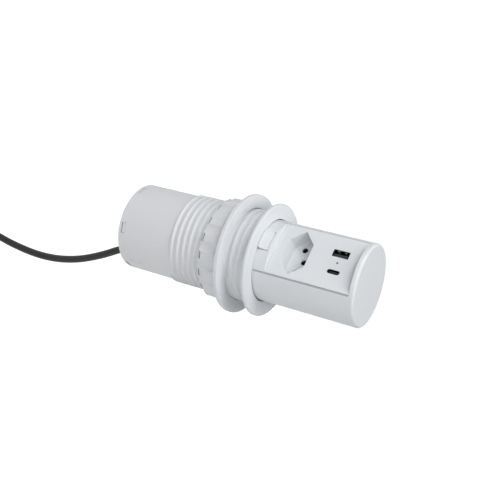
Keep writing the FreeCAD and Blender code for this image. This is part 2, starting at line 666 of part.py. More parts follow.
def ring_nut():
    """The nut: internal thread, lobes round its body, a slit near the lower end of each lobe."""
    top = "(0 - desk_gap - washer_thick - nut_seat_gap)"
    low = "(0 - desk_gap - washer_thick - nut_seat_gap - nut_tall)"
    inner = "(sleeve_radius + thread_play)"
    body = turned("nut_body", (
        ("sleeve_radius / 2", low),
        ("nut_radius - nut_slope_deep", low),
        ("nut_radius", f"{low} + nut_slope_tall"),
        ("nut_radius", top),
        ("sleeve_radius / 2", top),
    ))
    hole = cylinder("nut_hole", inner, f"{low} - 2 * thread_pitch", f"{top} + 2 * thread_pitch")
    hollows = []
    slits = []
    count = round(size("grip_count"))
    for index in range(count):
        lobe = -90 + 360 / count * index
        x, y = around("nut_radius + grip_radius - grip_depth", lobe + 180 / count)
        hollows.append(cylinder(f"grip_hollow_{index + 1}", "grip_radius", f"{low} - 1", f"{top} + 1", x, y))
        slits.append(radial_box(f"nut_slit_{index + 1}", lobe, "nut_radius - slit_depth", "nut_radius + 3",
                                "slit_width", f"{low} + slit_lift", f"{low} + slit_lift + slit_tall"))
    slope = "((ridge_base - ridge_crest) / 2 / thread_height)"
    mouth_half = f"(ridge_base / 2 - {slope} * (thread_play - ridge_sink) + thread_play)"
    floor_half = f"(ridge_crest / 2 - {slope} * nut_gap + thread_play)"
    groove = ridge("nut_groove", (
        (f"{inner} - ridge_sink", less(mouth_half)),
        (f"{crest} + nut_gap", less(floor_half)),
        (f"{crest} + nut_gap", floor_half),
        (f"{inner} - ridge_sink", mouth_half),
    ), crest, "0 - thread_depth + 4 * thread_pitch", "nut_groove_turns")
    return cut("nut", body, join("nut_bore", hole, groove), group("grip_hollows", hollows),
               group("nut_slits", slits))


def tower_back_shell():
    """The round back of the tower, with guide keys and bosses for the bottom plate's screws."""
    tube = ring("back_tube", "tower_radius", shell_inside, foot_low, "tower_rise")
    key_high = "(0 - spigot_depth - stop_gap)"
    keys = []
    for name, degrees in (("key_east", 0), ("key_west", 180)):
        keys.append(radial_box(name, degrees, f"{shell_inside} + 0.5", "tower_radius + key_reach", "key_width",
                               f"{key_high} - key_tall", key_high))
    bosses = []
    holes = []
    for degrees in SCREW_ANGLES:
        x, y = around("screw_circle", degrees)
        low = f"({foot_low} + base_thick)"
        bosses.append(cylinder(f"screw_boss_{degrees}", "screw_boss_radius", low, f"{low} + screw_boss_tall", x, y))
        holes.append(cylinder(f"screw_hole_{degrees}", "screw_shank_radius + press_gap", f"{low} - 1",
                              f"{low} + screw_shank_long", x, y))
    room = cylinder("boss_room", "tower_radius - shell_wall / 2", foot_low, "tower_rise")
    inner_bosses = shared("screw_bosses", group("boss_columns", bosses), room)
    front = box("back_shell_front", both_sides("2 * tower_radius"),
                ("0 - 2 * tower_radius", split), (f"{foot_low} - 1", "tower_rise + 1"))
    solid = join("back_solid", tube, inner_bosses, *keys)
    return cut("back_shell", solid, front, group("screw_holes", holes))


def front_foot():
    """The round front of the tower's foot, with the ledge, the catch's window and its guides."""
    high = "ledge_rise"
    tube = ring("foot_tube", "tower_radius", shell_inside, foot_low, high)
    plate = cylinder("foot_ledge", "tower_radius", "ledge_rise - ledge_thick", high)
    room = cylinder("foot_room", "tower_radius - shell_wall / 2", "collar_thick - 4", high)
    guide_inner = "(catch_width / 2 + catch_flange_side + glide_gap)"
    guide_outer = f"({guide_inner} + bridge_thick)"
    guide_low = "(collar_thick - 2)"
    guides = []
    for name, span in (("guide_east", (guide_inner, guide_outer)),
                       ("guide_west", (less(guide_outer), less(guide_inner)))):
        guides.append(box(name, span, ("0 - tower_radius", "0 - bridge_offset"), (guide_low, high)))
    guides.append(box("spring_seat", both_sides(guide_outer),
                      ("0 - bridge_offset - bridge_thick", "0 - bridge_offset"), (guide_low, high)))
    inner_guides = shared("catch_guides", join("catch_guide_boxes", *guides), room)
    back = box("foot_back", both_sides("2 * tower_radius"),
               (face_back, "2 * tower_radius"), (f"{foot_low} - 1", f"{high} + 1"))
    side_block = box("foot_side_block", both_sides("2 * tower_radius"),
                     (edge_back, "2 * tower_radius"), (f"{foot_low} - 1", f"{high} + 1"))
    side_core = cylinder("foot_side_core", inside_shells, f"{foot_low} - 2", f"{high} + 2")
    sides = cut("foot_sides", side_block, side_core)
    window = box("catch_window", both_sides("catch_width / 2 + glide_gap"),
                 ("0 - 2 * tower_radius", "0 - catch_depth + 1"),
                 (f"{catch_low} - glide_gap", f"{catch_high} + glide_gap"))
    return cut("foot", join("foot_solid", tube, plate, inner_guides), back, sides, window)


def release_catch():
    """The catch: an upright lower edge that stands on the collar, a ramp above it and a flange behind."""
    edge_radius = "(tower_radius + catch_reach)"
    block = box("catch_block", both_sides("catch_width / 2"),
                ("0 - tower_radius - 4", "0 - catch_depth"), (catch_low, catch_high))
    soft_block = rounded("catch_soft_block", block, size("catch_round"), along_y)
    form = turned("catch_form", (
        ("catch_depth - 8", catch_low),
        (edge_radius, catch_low),
        (edge_radius, f"{catch_low} + catch_edge"),
        ("tower_radius", catch_high),
        ("catch_depth - 8", catch_high),
    ))
    flange = box("catch_flange_plate", both_sides("catch_width / 2 + catch_flange_side"),
                 ("0 - catch_depth - catch_flange", "0 - catch_depth"),
                 (f"{catch_low} - 1.2", f"{catch_high} + 0.1"))
    return join("catch", shared("catch_face", soft_block, form), flange)


def catch_spring():
    """The bent leaf spring between the catch and its seat: two feet on the seat, a crown behind the catch."""
    front = -size("catch_depth")
    back = -size("bridge_offset") - size("bridge_thick")
    leaf = size("spring_leaf")
    foot = size("spring_foot")
    heel = foot - size("spring_rest")
    crown = size("spring_crown")
    low = size("collar_thick") + size("catch_lift") + (size("catch_tall") - size("spring_tall")) / 2
    outer = [(-foot, back), (-heel, back), (-crown, front + leaf), (crown, front + leaf), (heel, back), (foot, back)]
    inner = [(foot, back - leaf), (heel - leaf / 2, back - leaf), (crown + leaf / 2, front),
             (-crown - leaf / 2, front), (leaf / 2 - heel, back - leaf), (-foot, back - leaf)]
    points = [Vector(x, y, low) for x, y in outer + inner]
    face = Part.Face(Part.makePolygon(points + points[:1]))
    return solid_object("spring_leaf_solid", face.extrude(Vector(0, 0, size("spring_tall"))))


def hexagon(margin):
    """The recess's outline, a long hexagon with its points to the sides, larger by a margin."""
    tip = f"(hex_long / 2 + {margin})"
    corner = f"(hex_side / 2 + {margin} / 2)"
    half = f"(hex_wide / 2 + {margin})"
    return (
        (less(tip), "hex_rise"),
        (less(corner), f"hex_rise - {half}"),
        (corner, f"hex_rise - {half}"),
        (tip, "hex_rise"),
        (corner, f"hex_rise + {half}"),
        (less(corner), f"hex_rise + {half}"),
    )


def slot(name, x, width, tall, front, back):
    """An upright slot with round ends, drawn out along Y."""
    straight = f"(({tall} - {width}) / 2)"
    middle = box(f"{name}_middle", (f"{x} - {width} / 2", f"{x} + {width} / 2"), (front, back),
                 (f"port_rise - {straight}", f"port_rise + {straight}"))
    upper = rod(f"{name}_upper", f"{width} / 2", x, f"port_rise + {straight}", front, back)
    lower = rod(f"{name}_lower", f"{width} / 2", x, f"port_rise - {straight}", front, back)
    return join(name, middle, upper, lower)


def port_box(name, shrink, front, back):
    """A box around the wide port's middle, smaller than its shell by a margin on each side."""
    across = f"(wide_port_width / 2 - {shrink})"
    upright = f"(wide_port_tall / 2 - {shrink})"
    return box(name, (f"0 - wide_port_side - {across}", f"0 - wide_port_side + {across}"), (front, back),
               (f"port_rise - {upright}", f"port_rise + {upright}"))


def socket_faceplate():
    """The flat front: it covers the shells' edges, with the recess's mouth, two ports and a light."""
    span = ("ledge_rise + seam_gap", "tower_rise - seam_gap")
    sheet_part = box("face_sheet", both_sides("tower_radius"), ("0 - flat_offset", edge_back), span)
    sheet_room = cylinder("face_sheet_room", "tower_radius", "ledge_rise", "tower_rise")
    slab = box("face_slab", both_sides("tower_radius"), ("0 - flat_offset", face_back), span)
    slab_room = cylinder("face_slab_room", inside_shells, "ledge_rise", "tower_rise")
    plain = join("face_plain", shared("face_sheet_cut", sheet_part, sheet_room),
                 shared("face_slab_cut", slab, slab_room))
    front = "(0 - flat_offset - 1)"
    back = f"({face_back} + 1)"
    mouth = extruded("recess_mouth", hexagon("0"), front, back)
    wide = port_box("wide_port_hole", "(0 - port_fit)", front, back)
    slim = slot("slim_port_hole", "slim_port_side", "(slim_port_width + 2 * port_fit)",
                "(slim_port_tall + 2 * port_fit)", front, back)
    light = rod("light_hole", "light_radius", "0", "port_rise", front, back)
    return cut("faceplate", plain, mouth, wide, slim, light)


def tower_cap():
    """The round cap, with a rim that reaches into the shells behind the face plate."""
    disc = cylinder("cap_disc", "tower_radius", "tower_rise", cap_top)
    soft_disc = rounded("cap_soft_disc", disc, size("cap_round"),
                        circle_at(size("tower_radius"), size("tower_rise") + size("cap_thick")))
    rim = ring("cap_rim", inside_shells, f"{shell_inside} - shell_wall",
               "tower_rise - cap_spigot_depth", "tower_rise + 0.5")
    behind = box("cap_rim_front", both_sides("tower_radius"),
                 ("0 - tower_radius", f"{face_back} + 2 * seam_gap"),
                 ("tower_rise - cap_spigot_depth - 1", "tower_rise"))
    return join("cap", soft_disc, cut("cap_rim_cut", rim, behind))


def base_plate():
    """The plate that closes the tower's foot, with the lead's hole and three screw holes."""
    disc = cylinder("base_disc", inside_shells, foot_low, f"{foot_low} + base_thick")
    holes = [cylinder("grommet_hole", "grommet_radius + press_gap", f"{foot_low} - 1",
                      f"{foot_low} + base_thick + 1", "0", f"{wire_y} - lead_side")]
    for degrees in SCREW_ANGLES:
        x, y = around("screw_circle", degrees)
        holes.append(cylinder(f"base_screw_hole_{degrees}", "screw_shank_radius + press_gap",
                              f"{foot_low} - 1", f"{foot_low} + base_thick + 1", x, y))
    return cut("base", disc, group("base_holes", holes))


def base_screws():
    """Three screws that hold the bottom plate to the back shell's bosses."""
    screws = []
    for degrees in SCREW_ANGLES:
        x, y = around("screw_circle", degrees)
        head = cylinder(f"screw_head_{degrees}", "screw_head_radius", f"{foot_low} - screw_head_tall",
                        foot_low, x, y)
        shank = cylinder(f"screw_shank_{degrees}", "screw_shank_radius", foot_low,
                         f"{foot_low} + screw_shank_long", x, y)
        socket_tool = doc.addObject("Part::Prism", f"screw_socket_{degrees}")
        socket_tool.Polygon = 6
        socket_tool.setExpression("Circumradius", formula("screw_head_radius / 2"))
        socket_tool.setExpression("Height", formula("screw_head_tall"))
        place(socket_tool, x, y, f"{foot_low} - 1.5 * screw_head_tall")
        screws.append(cut(f"screw_{degrees}", join(f"screw_solid_{degrees}", head, shank), socket_tool))
    return group("screws", screws)


def lead_grommet():
    """The rubber ring round the lead in the bottom plate."""
    y = f"({wire_y} - lead_side)"
    low = f"({foot_low} - grommet_flange)"
    high = f"({foot_low} + base_thick + grommet_flange)"
    neck = cylinder("grommet_neck", "grommet_radius", low, high, "0", y)
    under = cylinder("grommet_under", "grommet_radius + 1.4", low, foot_low, "0", y)
    over = cylinder("grommet_over", "grommet_radius + 1.4", f"{foot_low} + base_thick", high, "0", y)
    hole = cylinder("grommet_bore", "lead_radius + press_gap", f"{low} - 1", f"{high} + 1", "0", y)
    return cut("grommet", join("grommet_solid", neck, under, over), hole)


def tower_lead():
    """The lead's straight end in the foot, from the grommet to the terminal block."""
    return cylinder("lead_end", "lead_radius", f"{foot_low} - grommet_flange", block_low,
                    "0", f"{wire_y} - lead_side")


def terminal_block():
    """The block that joins the lead's three wires to the socket's."""
    depth = (f"{wire_y} - block_depth / 2 - lead_side / 2", f"{wire_y} + block_depth / 2 - lead_side / 2")
    body = box("block_body", both_sides("block_width / 2"), depth, (block_low, block_high))
    foot_span = (f"{foot_low} + base_thick", block_low)
    east = box("block_foot_east", ("block_width / 2 - 3", "block_width / 2"), depth, foot_span)
    west = box("block_foot_west", ("0 - block_width / 2", "3 - block_width / 2"), depth, foot_span)
    return join("block", body, east, west)


def terminal_screws():
    """Three slotted screw heads on the terminal block's front."""
    front = f"({wire_y} - block_depth / 2 - lead_side / 2)"
    heads = []
    for name, x, _ in PIN_PLACES:
        head = rod(f"{name}_screw", "screw_head_radius", x, f"({block_low} + {block_high}) / 2",
                   f"{front} - 1", front)
        slit = box(f"{name}_slit", (f"{x} - screw_head_radius", f"{x} + screw_head_radius"),
                   (f"{front} - 2", f"{front} - 0.5"),
                   (f"({block_low} + {block_high}) / 2 - 0.3", f"({block_low} + {block_high}) / 2 + 0.3"))
        heads.append(cut(f"{name}_screw_head", head, slit))
    return group("terminal_screw_heads", heads)


def socket_cup():
    """The recess's cup behind the face plate, with three holes in its floor."""
    outside = extruded("cup_outside", hexagon("cup_wall"), face_back, floor_back)
    inside = extruded("cup_inside", hexagon("0"), f"{face_back} - 1", floor_front)
    holes = []
    for name, x, above in PIN_PLACES:
        holes.append(rod(f"cup_{name}_hole", "pin_hole_radius", x, f"{pin_row} + {above}",
                         f"{floor_front} - 1", f"{floor_back} + 1"))
    return cut("cup", outside, inside, group("cup_holes", holes))


def contact_carrier():
    """The insulating block that holds the three contact sleeves."""
    high = (f"{pin_row} + earth_offset / 2 - carrier_tall / 2", f"{pin_row} + earth_offset / 2 + carrier_tall / 2")
    body = box("carrier_body", both_sides("carrier_width / 2"), (floor_back, contact_back), high)
    holes = []
    for name, x, above in PIN_PLACES:
        holes.append(rod(f"carrier_{name}_hole", "pin_hole_radius + contact_wall + press_gap", x,
                         f"{pin_row} + {above}", f"{floor_back} - 1", f"{contact_back} + 1"))
    return cut("carrier", body, group("carrier_holes", holes))


def contact_sleeve(name, x, above):
    """One contact: a closed sleeve for a plug's pin, with a tail for its wire."""
    z = f"{pin_row} + {above}"
    outside = rod(f"{name}_sleeve", "pin_hole_radius + contact_wall", x, z, floor_back, contact_back)
    hole = rod(f"{name}_sleeve_bore", "pin_hole_radius", x, z, f"{floor_back} - 1",
               f"{contact_back} - contact_end")
    tail = rod(f"{name}_tail", "tail_radius", x, z, f"{contact_back} - contact_end / 2", tail_back)
    return join(f"{name}_contact", cut(f"{name}_tube", outside, hole), tail)


def contact_cover():
    """The plate behind the contact carrier; the contacts' tails pass through it."""
    high = (f"{pin_row} + earth_offset / 2 - carrier_tall / 2", f"{pin_row} + earth_offset / 2 + carrier_tall / 2")
    plate = box("cover_body", both_sides("carrier_width / 2"), (contact_back, cover_back), high)
    holes = []
    for name, x, above in PIN_PLACES:
        holes.append(rod(f"cover_{name}_hole", "tail_radius + press_gap", x, f"{pin_row} + {above}",
                         f"{contact_back} - 1", f"{cover_back} + 1"))
    return cut("cover", plate, group("cover_holes", holes))


def mains_wires():
    """Three single wires from the terminal block up to the contacts' tails."""
    y = size("recess_depth") - size("flat_offset") + size("pin_depth") + 2 * size("contact_end")
    y += size("tail_long") - 1.5 * size("tail_radius")
    low = size("base_thick") + size("block_foot") + size("block_tall") - size("foot_drop")
    row = size("hex_rise") - size("pin_drop")
    wires = []
    for name, x, high in (("line", -size("pin_spacing") / 2, row),
                          ("neutral", size("pin_spacing") / 2, row),
                          ("earth", 0.0, row + size("earth_offset"))):
        top = high - size("tail_radius")
        points = [Vector(x, y, low), Vector(x, y, low + 0.28 * (top - low)),
                  Vector(x, y + 2.5, low + 0.5 * (top - low)), Vector(x, y, low + 0.72 * (top - low)),
                  Vector(x, y, top)]
        wires.append(routed(f"{name}_wire", points, size("wire_radius"), 3))
    return group("wires", wires)


def wide_port_shell():
    """The wide port's metal shell, open in front and closed at the board."""
    front = "(port_set_back - flat_offset)"
    outside = port_box("wide_shell_outside", "0", front, board_front)
    inside = port_box("wide_shell_inside", "wide_port_wall", f"{front} - 1", f"{board_front} - wide_port_wall")
    return cut("wide_shell", outside, inside)


def wide_port_tongue():
    """The wide port's tongue, on the side of the shell that faces the light."""
    x_high = "(0 - wide_port_side + wide_port_width / 2 - wide_port_wall - 0.5)"
    return box("wide_tongue", (f"{x_high} - wide_tongue_width", x_high),
               ("1.2 - flat_offset", f"{board_front} - wide_port_wall"),
               ("port_rise - wide_port_tall / 2 + wide_port_wall + 0.3",
                "port_rise + wide_port_tall / 2 - wide_port_wall - 0.3"))


def slim_port_shell():
    """The slim port's metal shell with round ends."""
    front = "(port_set_back - flat_offset)"
    outside = slot("slim_shell_outside", "slim_port_side", "slim_port_width", "slim_port_tall", front, board_front)
    inside = slot("slim_shell_inside", "slim_port_side", "(slim_port_width - 2 * slim_port_wall)",
                  "(slim_port_tall - 2 * slim_port_wall)", f"{front} - 1", f"{board_front} - slim_port_wall")
    return cut("slim_shell", outside, inside)


def slim_port_tongue():
    """The slim port's thin tongue in the middle of its shell."""
    return box("slim_tongue",
               ("slim_port_side - slim_tongue_width / 2", "slim_port_side + slim_tongue_width / 2"),
               ("0.8 - flat_offset", f"{board_front} - slim_port_wall"),
               ("port_rise - slim_port_tall / 2 + 1.2", "port_rise + slim_port_tall / 2 - 1.2"))


def status_light():
    """The light guide from the board to the face."""
    return rod("light_guide", "light_radius - port_fit / 2", "0", "port_rise", "0.1 - flat_offset", board_front)


def charger_board():
    """The board that carries both ports and the power supply."""
    return box("board_body", both_sides("board_width / 2"), (board_front, board_back),
               ("port_rise - board_tall / 2", "port_rise + board_tall / 2"))


def transformer_core():
    """The transformer's core: a closed frame around its winding."""
    low = "(port_rise + core_lift - core_tall / 2)"
    high = "(port_rise + core_lift + core_tall / 2)"
    depth = (board_back, f"{board_back} + core_depth")
    body = box("core_body", both_sides("core_width / 2"), depth, (low, high))
    room = box("core_room", both_sides("core_width / 2 - winding_wall"),
               (f"{board_back} - 1", f"{board_back} + core_depth + 1"),
               (f"{low} + winding_wall", f"{high} - winding_wall"))
    return cut("core", body, room)


def transformer_winding():
    """The taped winding in the core's frame."""
    low = "(port_rise + core_lift - core_tall / 2 + winding_wall)"
    high = "(port_rise + core_lift + core_tall / 2 - winding_wall)"
    body = box("winding_body", both_sides("core_width / 2 - winding_wall - press_gap"),
               (board_back, f"{board_back} + core_depth + 1.5"), (f"{low} + press_gap", f"{high} - press_gap"))
    return rounded("winding", body, 1.0, along_y)


def capacitors():
    """Two round capacitors on the board, below the transformer."""
    cans = []
    z = "(port_rise - board_tall / 2 + capacitor_radius + 0.2)"
    for name, x in (("east", "capacitor_radius + 1.2"), ("west", "0 - capacitor_radius - 1.2")):
        cans.append(rod(f"capacitor_{name}", "capacitor_radius", x, z, board_back,
                        f"{board_back} + capacitor_long"))
    return group("capacitor_cans", cans)


def inner_lead():
    """The limp lead from the gland up to the tower's foot, slack enough for the tower's travel."""
    x = size("gland_offset") * 0.8
    y = size("gland_offset") * 0.6
    low = -size("gland_stem_top")
    top = -size("foot_drop") - size("grommet_flange")
    end_y = (size("recess_depth") - size("flat_offset") + size("pin_depth") + 2 * size("contact_end")
             + size("tail_long") - 1.5 * size("tail_radius") - size("lead_side"))
    points = [
        Vector(x, y, low),
        Vector(x, y, low + 12),
        Vector(9, -1, low + 25),
        Vector(-5, -7, low + 39),
        Vector(-9, 1, low + 52),
        Vector(0, end_y, top - 13),
        Vector(0, end_y, top),
    ]
    return routed("inner_lead", points, size("lead_radius"), 3)


def cord_route():
    """The hanging cord's points, from the gland's stem to the hank."""
    x = size("gland_offset") * 0.8
    y = size("gland_offset") * 0.6
    end = -size("sleeve_depth")
    return [
        Vector(x, y, -size("gland_stem_top")),
        Vector(x, y, end - 12),
        Vector(26.5, 19.7, end - 38),
        Vector(35, 26, end - 66),
        Vector(39, 28, end - 96),
        Vector(38, 25, end - 128),
        Vector(34, 19, end - 158),
        Vector(31, 15, end - 184),
        Vector(31, 15, end - 207),
    ]


def hank_places():
    """The hank's middle across, its two layers, and the distances of its runs from the middle."""
    start = cord_route()[-1]
    step = 2 * size("cord_radius") + size("hank_gap")
    far = size("hank_half")
    near = far - step / 2
    return start.x - far, start.y, start.y + step, far, near, far - step, near - step


def hank_path():
    """The edges of the hank: runs drawn in at the waist, half turns, in one layer and out the other."""
    middle, first_y, second_y, far, near, far_inner, near_inner = hank_places()
    start = cord_route()[-1]
    high = start.z - 2 * size("cord_radius")
    low = high - size("hank_run")
    runs = (
        (far, first_y, first_y), (-near, first_y, first_y),
        (far_inner, first_y, first_y), (-near_inner, first_y, second_y),
        (far_inner, second_y, second_y), (-near, second_y, second_y),
        (far, second_y, second_y),
    )
    edges = [Part.LineSegment(start, Vector(start.x, start.y, high)).toShape()]
    for number, (across, enter_y, leave_y) in enumerate(runs):
        downward = number % 2 == 0
        enter_z, leave_z = (high, low) if downward else (low, high)
        drawn_in = across - math.copysign(size("hank_waist"), across)
        waist = Vector(middle + drawn_in, (enter_y + leave_y) / 2, (high + low) / 2)
        enter = Vector(middle + across, enter_y, enter_z)
        leave = Vector(middle + across, leave_y, leave_z)
        heading = Vector(0, 0, -1 if downward else 1)
        for here, there in ((enter, waist), (waist, leave)):
            half_way = (here + there) / 2
            arc, turned_heading = tangent_arc(here, heading, half_way)
            edges.append(arc)
            arc, heading = tangent_arc(half_way, turned_heading, there)
            edges.append(arc)
        if number + 1 < len(runs):
            beyond = Vector(middle + runs[number + 1][0], leave_y, leave_z)
            radius = abs(beyond.x - leave.x) / 2
            tip = (leave + beyond) / 2 + heading * radius
            arc, heading = tangent_arc(leave, heading, tip)
            edges.append(arc)
            arc, heading = tangent_arc(tip, heading, beyond)
            edges.append(arc)
    last = Vector(middle + far, second_y, low)
    edges.append(Part.LineSegment(last, last - Vector(0, 0, size("hank_tail"))).toShape())
    return edges


def cord_hank():
    """The rest of the cord, wound into a flat hank of two layers."""
    edges = hank_path()
    shape = pipe(edges, size("cord_radius"))
    length = sum(edge.Length for edge in edges)
    print(f"cord_hank: length {length:.1f}, least gap {least_gap(edges, size('cord_radius')):.2f},",
          f"volume {shape.Volume:.1f} of {math.pi * size('cord_radius') ** 2 * length:.1f}")
    return solid_object("hank", shape)


def hank_tie():
    """The strap round the hank's waist."""
    middle, first_y, second_y, far, near, _, _ = hank_places()
    start = cord_route()[-1]
    waist_z = start.z - 2 * size("cord_radius") - size("hank_run") / 2
    reach = size("cord_radius") + 0.35
    low_x = middle - near + size("hank_waist") - reach
    high_x = middle + far - size("hank_waist") + reach
    wall = size("tie_wall")
    tall = size("tie_tall")
    solids = []
    for margin in (wall, 0.0):
        corner = Vector(low_x - margin, first_y - reach - margin, waist_z - tall / 2)
        block = Part.makeBox(high_x - low_x + 2 * margin, second_y - first_y + 2 * reach + 2 * margin,
                             tall, corner)
        upright = [edge for edge in block.Edges if abs(abs(edge.tangentAt(0).z) - 1) < 1e-6]
        solids.append(block.makeFillet(reach - 0.4 + margin, upright))
    return solid_object("tie", solids[0].cut(solids[1]))


def plug_place():
    """Where the cord's end enters the plug's neck."""
    last = hank_path()[-1]
    return last.valueAt(last.LastParameter)


def plug_body():
    """The plug: a tapered neck and a long hexagonal body that fits the tower's recess."""
    top = plug_place()
    neck_long = size("plug_neck_long")
    body_long = size("plug_long")
    neck = Part.makeCone(size("cord_radius") + 3.2, size("cord_radius") + 1.2, neck_long,
                         top - Vector(0, 0, neck_long))
    margin = size("plug_margin")
    tip = size("hex_long") / 2 - margin
    corner = size("hex_side") / 2 - margin / 2
    half = size("hex_wide") / 2 - margin
    corners = [(-tip, 0), (-corner, -half), (corner, -half), (tip, 0), (corner, half), (-corner, half)]
    low = top.z - neck_long - body_long
    points = [Vector(top.x + x, top.y + y, low) for x, y in corners]
    face = Part.Face(Part.makePolygon(points + points[:1]))
    body = face.extrude(Vector(0, 0, body_long))
    upper = [edge for edge in body.Edges
             if all(abs(vertex.Z - low - body_long) < 0.01 for vertex in edge.Vertexes)]
    body = body.makeFillet(size("plug_round"), upper)
    return solid_object("plug", body.fuse(neck).removeSplitter())


def plug_pins():
    """The plug's three round pins, at the socket's spacing, with rounded ends."""
    top = plug_place()
    low = top.z - size("plug_neck_long") - size("plug_long")
    pins = []
    row = -size("pin_drop")
    for x, y in ((-size("pin_spacing") / 2, row), (size("pin_spacing") / 2, row), (0, row + size("earth_offset"))):
        pin = Part.makeCylinder(size("plug_pin_radius"), size("pin_depth"),
                                Vector(top.x + x, top.y + y, low - size("pin_depth")))
        tip = [edge for edge in pin.Edges if isinstance(edge.Curve, Part.Circle)
               and edge.Curve.Center.z < low - 1]
        pins.append(pin.makeFillet(size("plug_pin_round"), tip))
    return solid_object("pins", Part.makeCompound(pins))


node("housing_sleeve", housing_sleeve())
node("collar_ring", collar_ring())
node("bottom_cap", bottom_cap())
node("cable_gland", cable_gland())
node("gland_locknut", gland_locknut())
node("inner_lead", inner_lead())
node("cord_lead", routed("cord_lead_tube", cord_route(), size("cord_radius"), 5))
node("cord_hank", cord_hank())
node("hank_tie", hank_tie())
node("plug_body", plug_body())
node("plug_pins", plug_pins())
node("clamp_washer", clamp_washer())
node("ring_nut", ring_nut())
node("tower_back_shell", tower_back_shell())
node("front_foot", front_foot())
node("socket_faceplate", socket_faceplate())
node("tower_cap", tower_cap())
node("base_plate", base_plate())
node("base_screws", base_screws())
node("lead_grommet", lead_grommet())
node("tower_lead", tower_lead())
node("terminal_block", terminal_block())
node("terminal_screws", terminal_screws())
node("mains_wires", mains_wires())
node("socket_cup", socket_cup())
node("contact_carrier", contact_carrier())
node("line_contact", contact_sleeve("line", PIN_PLACES[0][1], PIN_PLACES[0][2]))
node("neutral_contact", contact_sleeve("neutral", PIN_PLACES[1][1], PIN_PLACES[1][2]))
node("earth_contact", contact_sleeve("earth", PIN_PLACES[2][1], PIN_PLACES[2][2]))
node("contact_cover", contact_cover())
node("charger_board", charger_board())
node("wide_port_shell", wide_port_shell())
node("wide_port_tongue", wide_port_tongue())
node("slim_port_shell", slim_port_shell())
node("slim_port_tongue", slim_port_tongue())
node("status_light", status_light())
node("transformer_core", transformer_core())
node("transformer_winding", transformer_winding())
node("capacitors", capacitors())
node("release_catch", release_catch())
node("catch_spring", catch_spring())

doc.recompute()
for item in doc.Objects:
    if "Invalid" in item.State or "Error" in item.State:
        raise RuntimeError(f"{item.Name} failed: {item.State}")
for item in nodes:
    shape = item.Shape
    if shape.isNull() or not shape.isValid() or not shape.Solids:
        raise RuntimeError(f"{item.Label} has no sound shape")

os.makedirs("parts", exist_ok=True)
for item in nodes:
    item.Shape.exportStep(f"parts/{item.Label}.step")
print(f"{len(nodes)} pieces written")
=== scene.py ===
# %% [markdown]
# # A desk socket tower, dressed for its portrait
#
# The object is a white pop-up tower that lives in a round hole in a desk. A threaded sleeve
# hangs under the desk top, a ring nut and a washer clamp it there, and the tower with its
# socket and charging ports slides up through a flat collar. Its solids were drawn in a CAD
# program and arrive here as a fixed frame, so this lesson never moves or reshapes them: it
# adds the camera, the light, the cord, the small fittings and, above all, the finishes.

# %% Open the frame
import json
import math

import bpy
import numpy as np
from mathutils import Matrix, Vector


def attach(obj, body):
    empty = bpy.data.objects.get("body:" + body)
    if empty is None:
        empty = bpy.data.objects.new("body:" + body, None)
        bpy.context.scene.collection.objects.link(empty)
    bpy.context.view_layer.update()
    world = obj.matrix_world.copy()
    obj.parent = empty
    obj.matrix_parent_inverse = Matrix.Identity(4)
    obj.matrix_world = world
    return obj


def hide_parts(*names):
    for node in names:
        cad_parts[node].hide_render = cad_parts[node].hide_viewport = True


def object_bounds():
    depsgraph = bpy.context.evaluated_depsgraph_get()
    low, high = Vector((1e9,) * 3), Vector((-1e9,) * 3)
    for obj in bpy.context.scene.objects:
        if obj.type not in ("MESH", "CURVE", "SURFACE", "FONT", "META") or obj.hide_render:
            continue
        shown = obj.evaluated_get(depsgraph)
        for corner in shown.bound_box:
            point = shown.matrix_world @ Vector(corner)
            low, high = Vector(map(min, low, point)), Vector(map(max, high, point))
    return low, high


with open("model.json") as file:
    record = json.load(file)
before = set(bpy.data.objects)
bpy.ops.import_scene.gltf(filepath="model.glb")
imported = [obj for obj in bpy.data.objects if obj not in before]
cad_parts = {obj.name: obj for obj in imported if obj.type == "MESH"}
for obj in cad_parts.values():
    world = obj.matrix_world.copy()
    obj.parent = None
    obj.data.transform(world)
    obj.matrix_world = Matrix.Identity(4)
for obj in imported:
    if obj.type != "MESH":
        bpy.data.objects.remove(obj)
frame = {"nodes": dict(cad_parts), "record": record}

cad_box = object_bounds()
MM = 0.001
MICRON = 0.000001
print("pieces in the frame:", len(frame["nodes"]))

# %% [markdown]
# ## Where the photographer stood
#
# The photograph shows the tower lying across the frame, its cap to the lower right. The
# object isn't lying down, though: the camera is rolled. Three unit vectors say how it was
# held, as the picture's right, its down and the way the lens looks, in the frame's own
# axes. Together with the lens they put every edge where the picture has it, which is why
# they come before anything that is judged.

# %% The camera
EYE = Vector((229.538, -481.958, 245.762)) * MM
PICTURE_RIGHT = Vector((-0.4158917, 0.2742799, 0.8670667))
PICTURE_DOWN = Vector((0.8213543, 0.5225833, 0.2286563))
LOOKING = Vector((-0.3903988, 0.8072652, -0.4426191))
FOCAL_PIXELS = 806.051
PICTURE_PIXELS = 500
SENSOR_WIDTH = 36
NEAREST_SEEN, FARTHEST_SEEN = 0.02, 60

camera = bpy.data.objects.new("camera", bpy.data.cameras.new("camera"))
bpy.context.scene.collection.objects.link(camera)
camera.data.sensor_width = SENSOR_WIDTH
camera.data.lens = FOCAL_PIXELS / PICTURE_PIXELS * SENSOR_WIDTH
camera.data.clip_start = NEAREST_SEEN
camera.data.clip_end = FARTHEST_SEEN
turn = Matrix((PICTURE_RIGHT, -PICTURE_DOWN, -LOOKING)).transposed()
camera.matrix_world = Matrix.Translation(EYE) @ turn.to_4x4()
bpy.context.scene.camera = camera
print("lens:", round(camera.data.lens, 2), "mm")

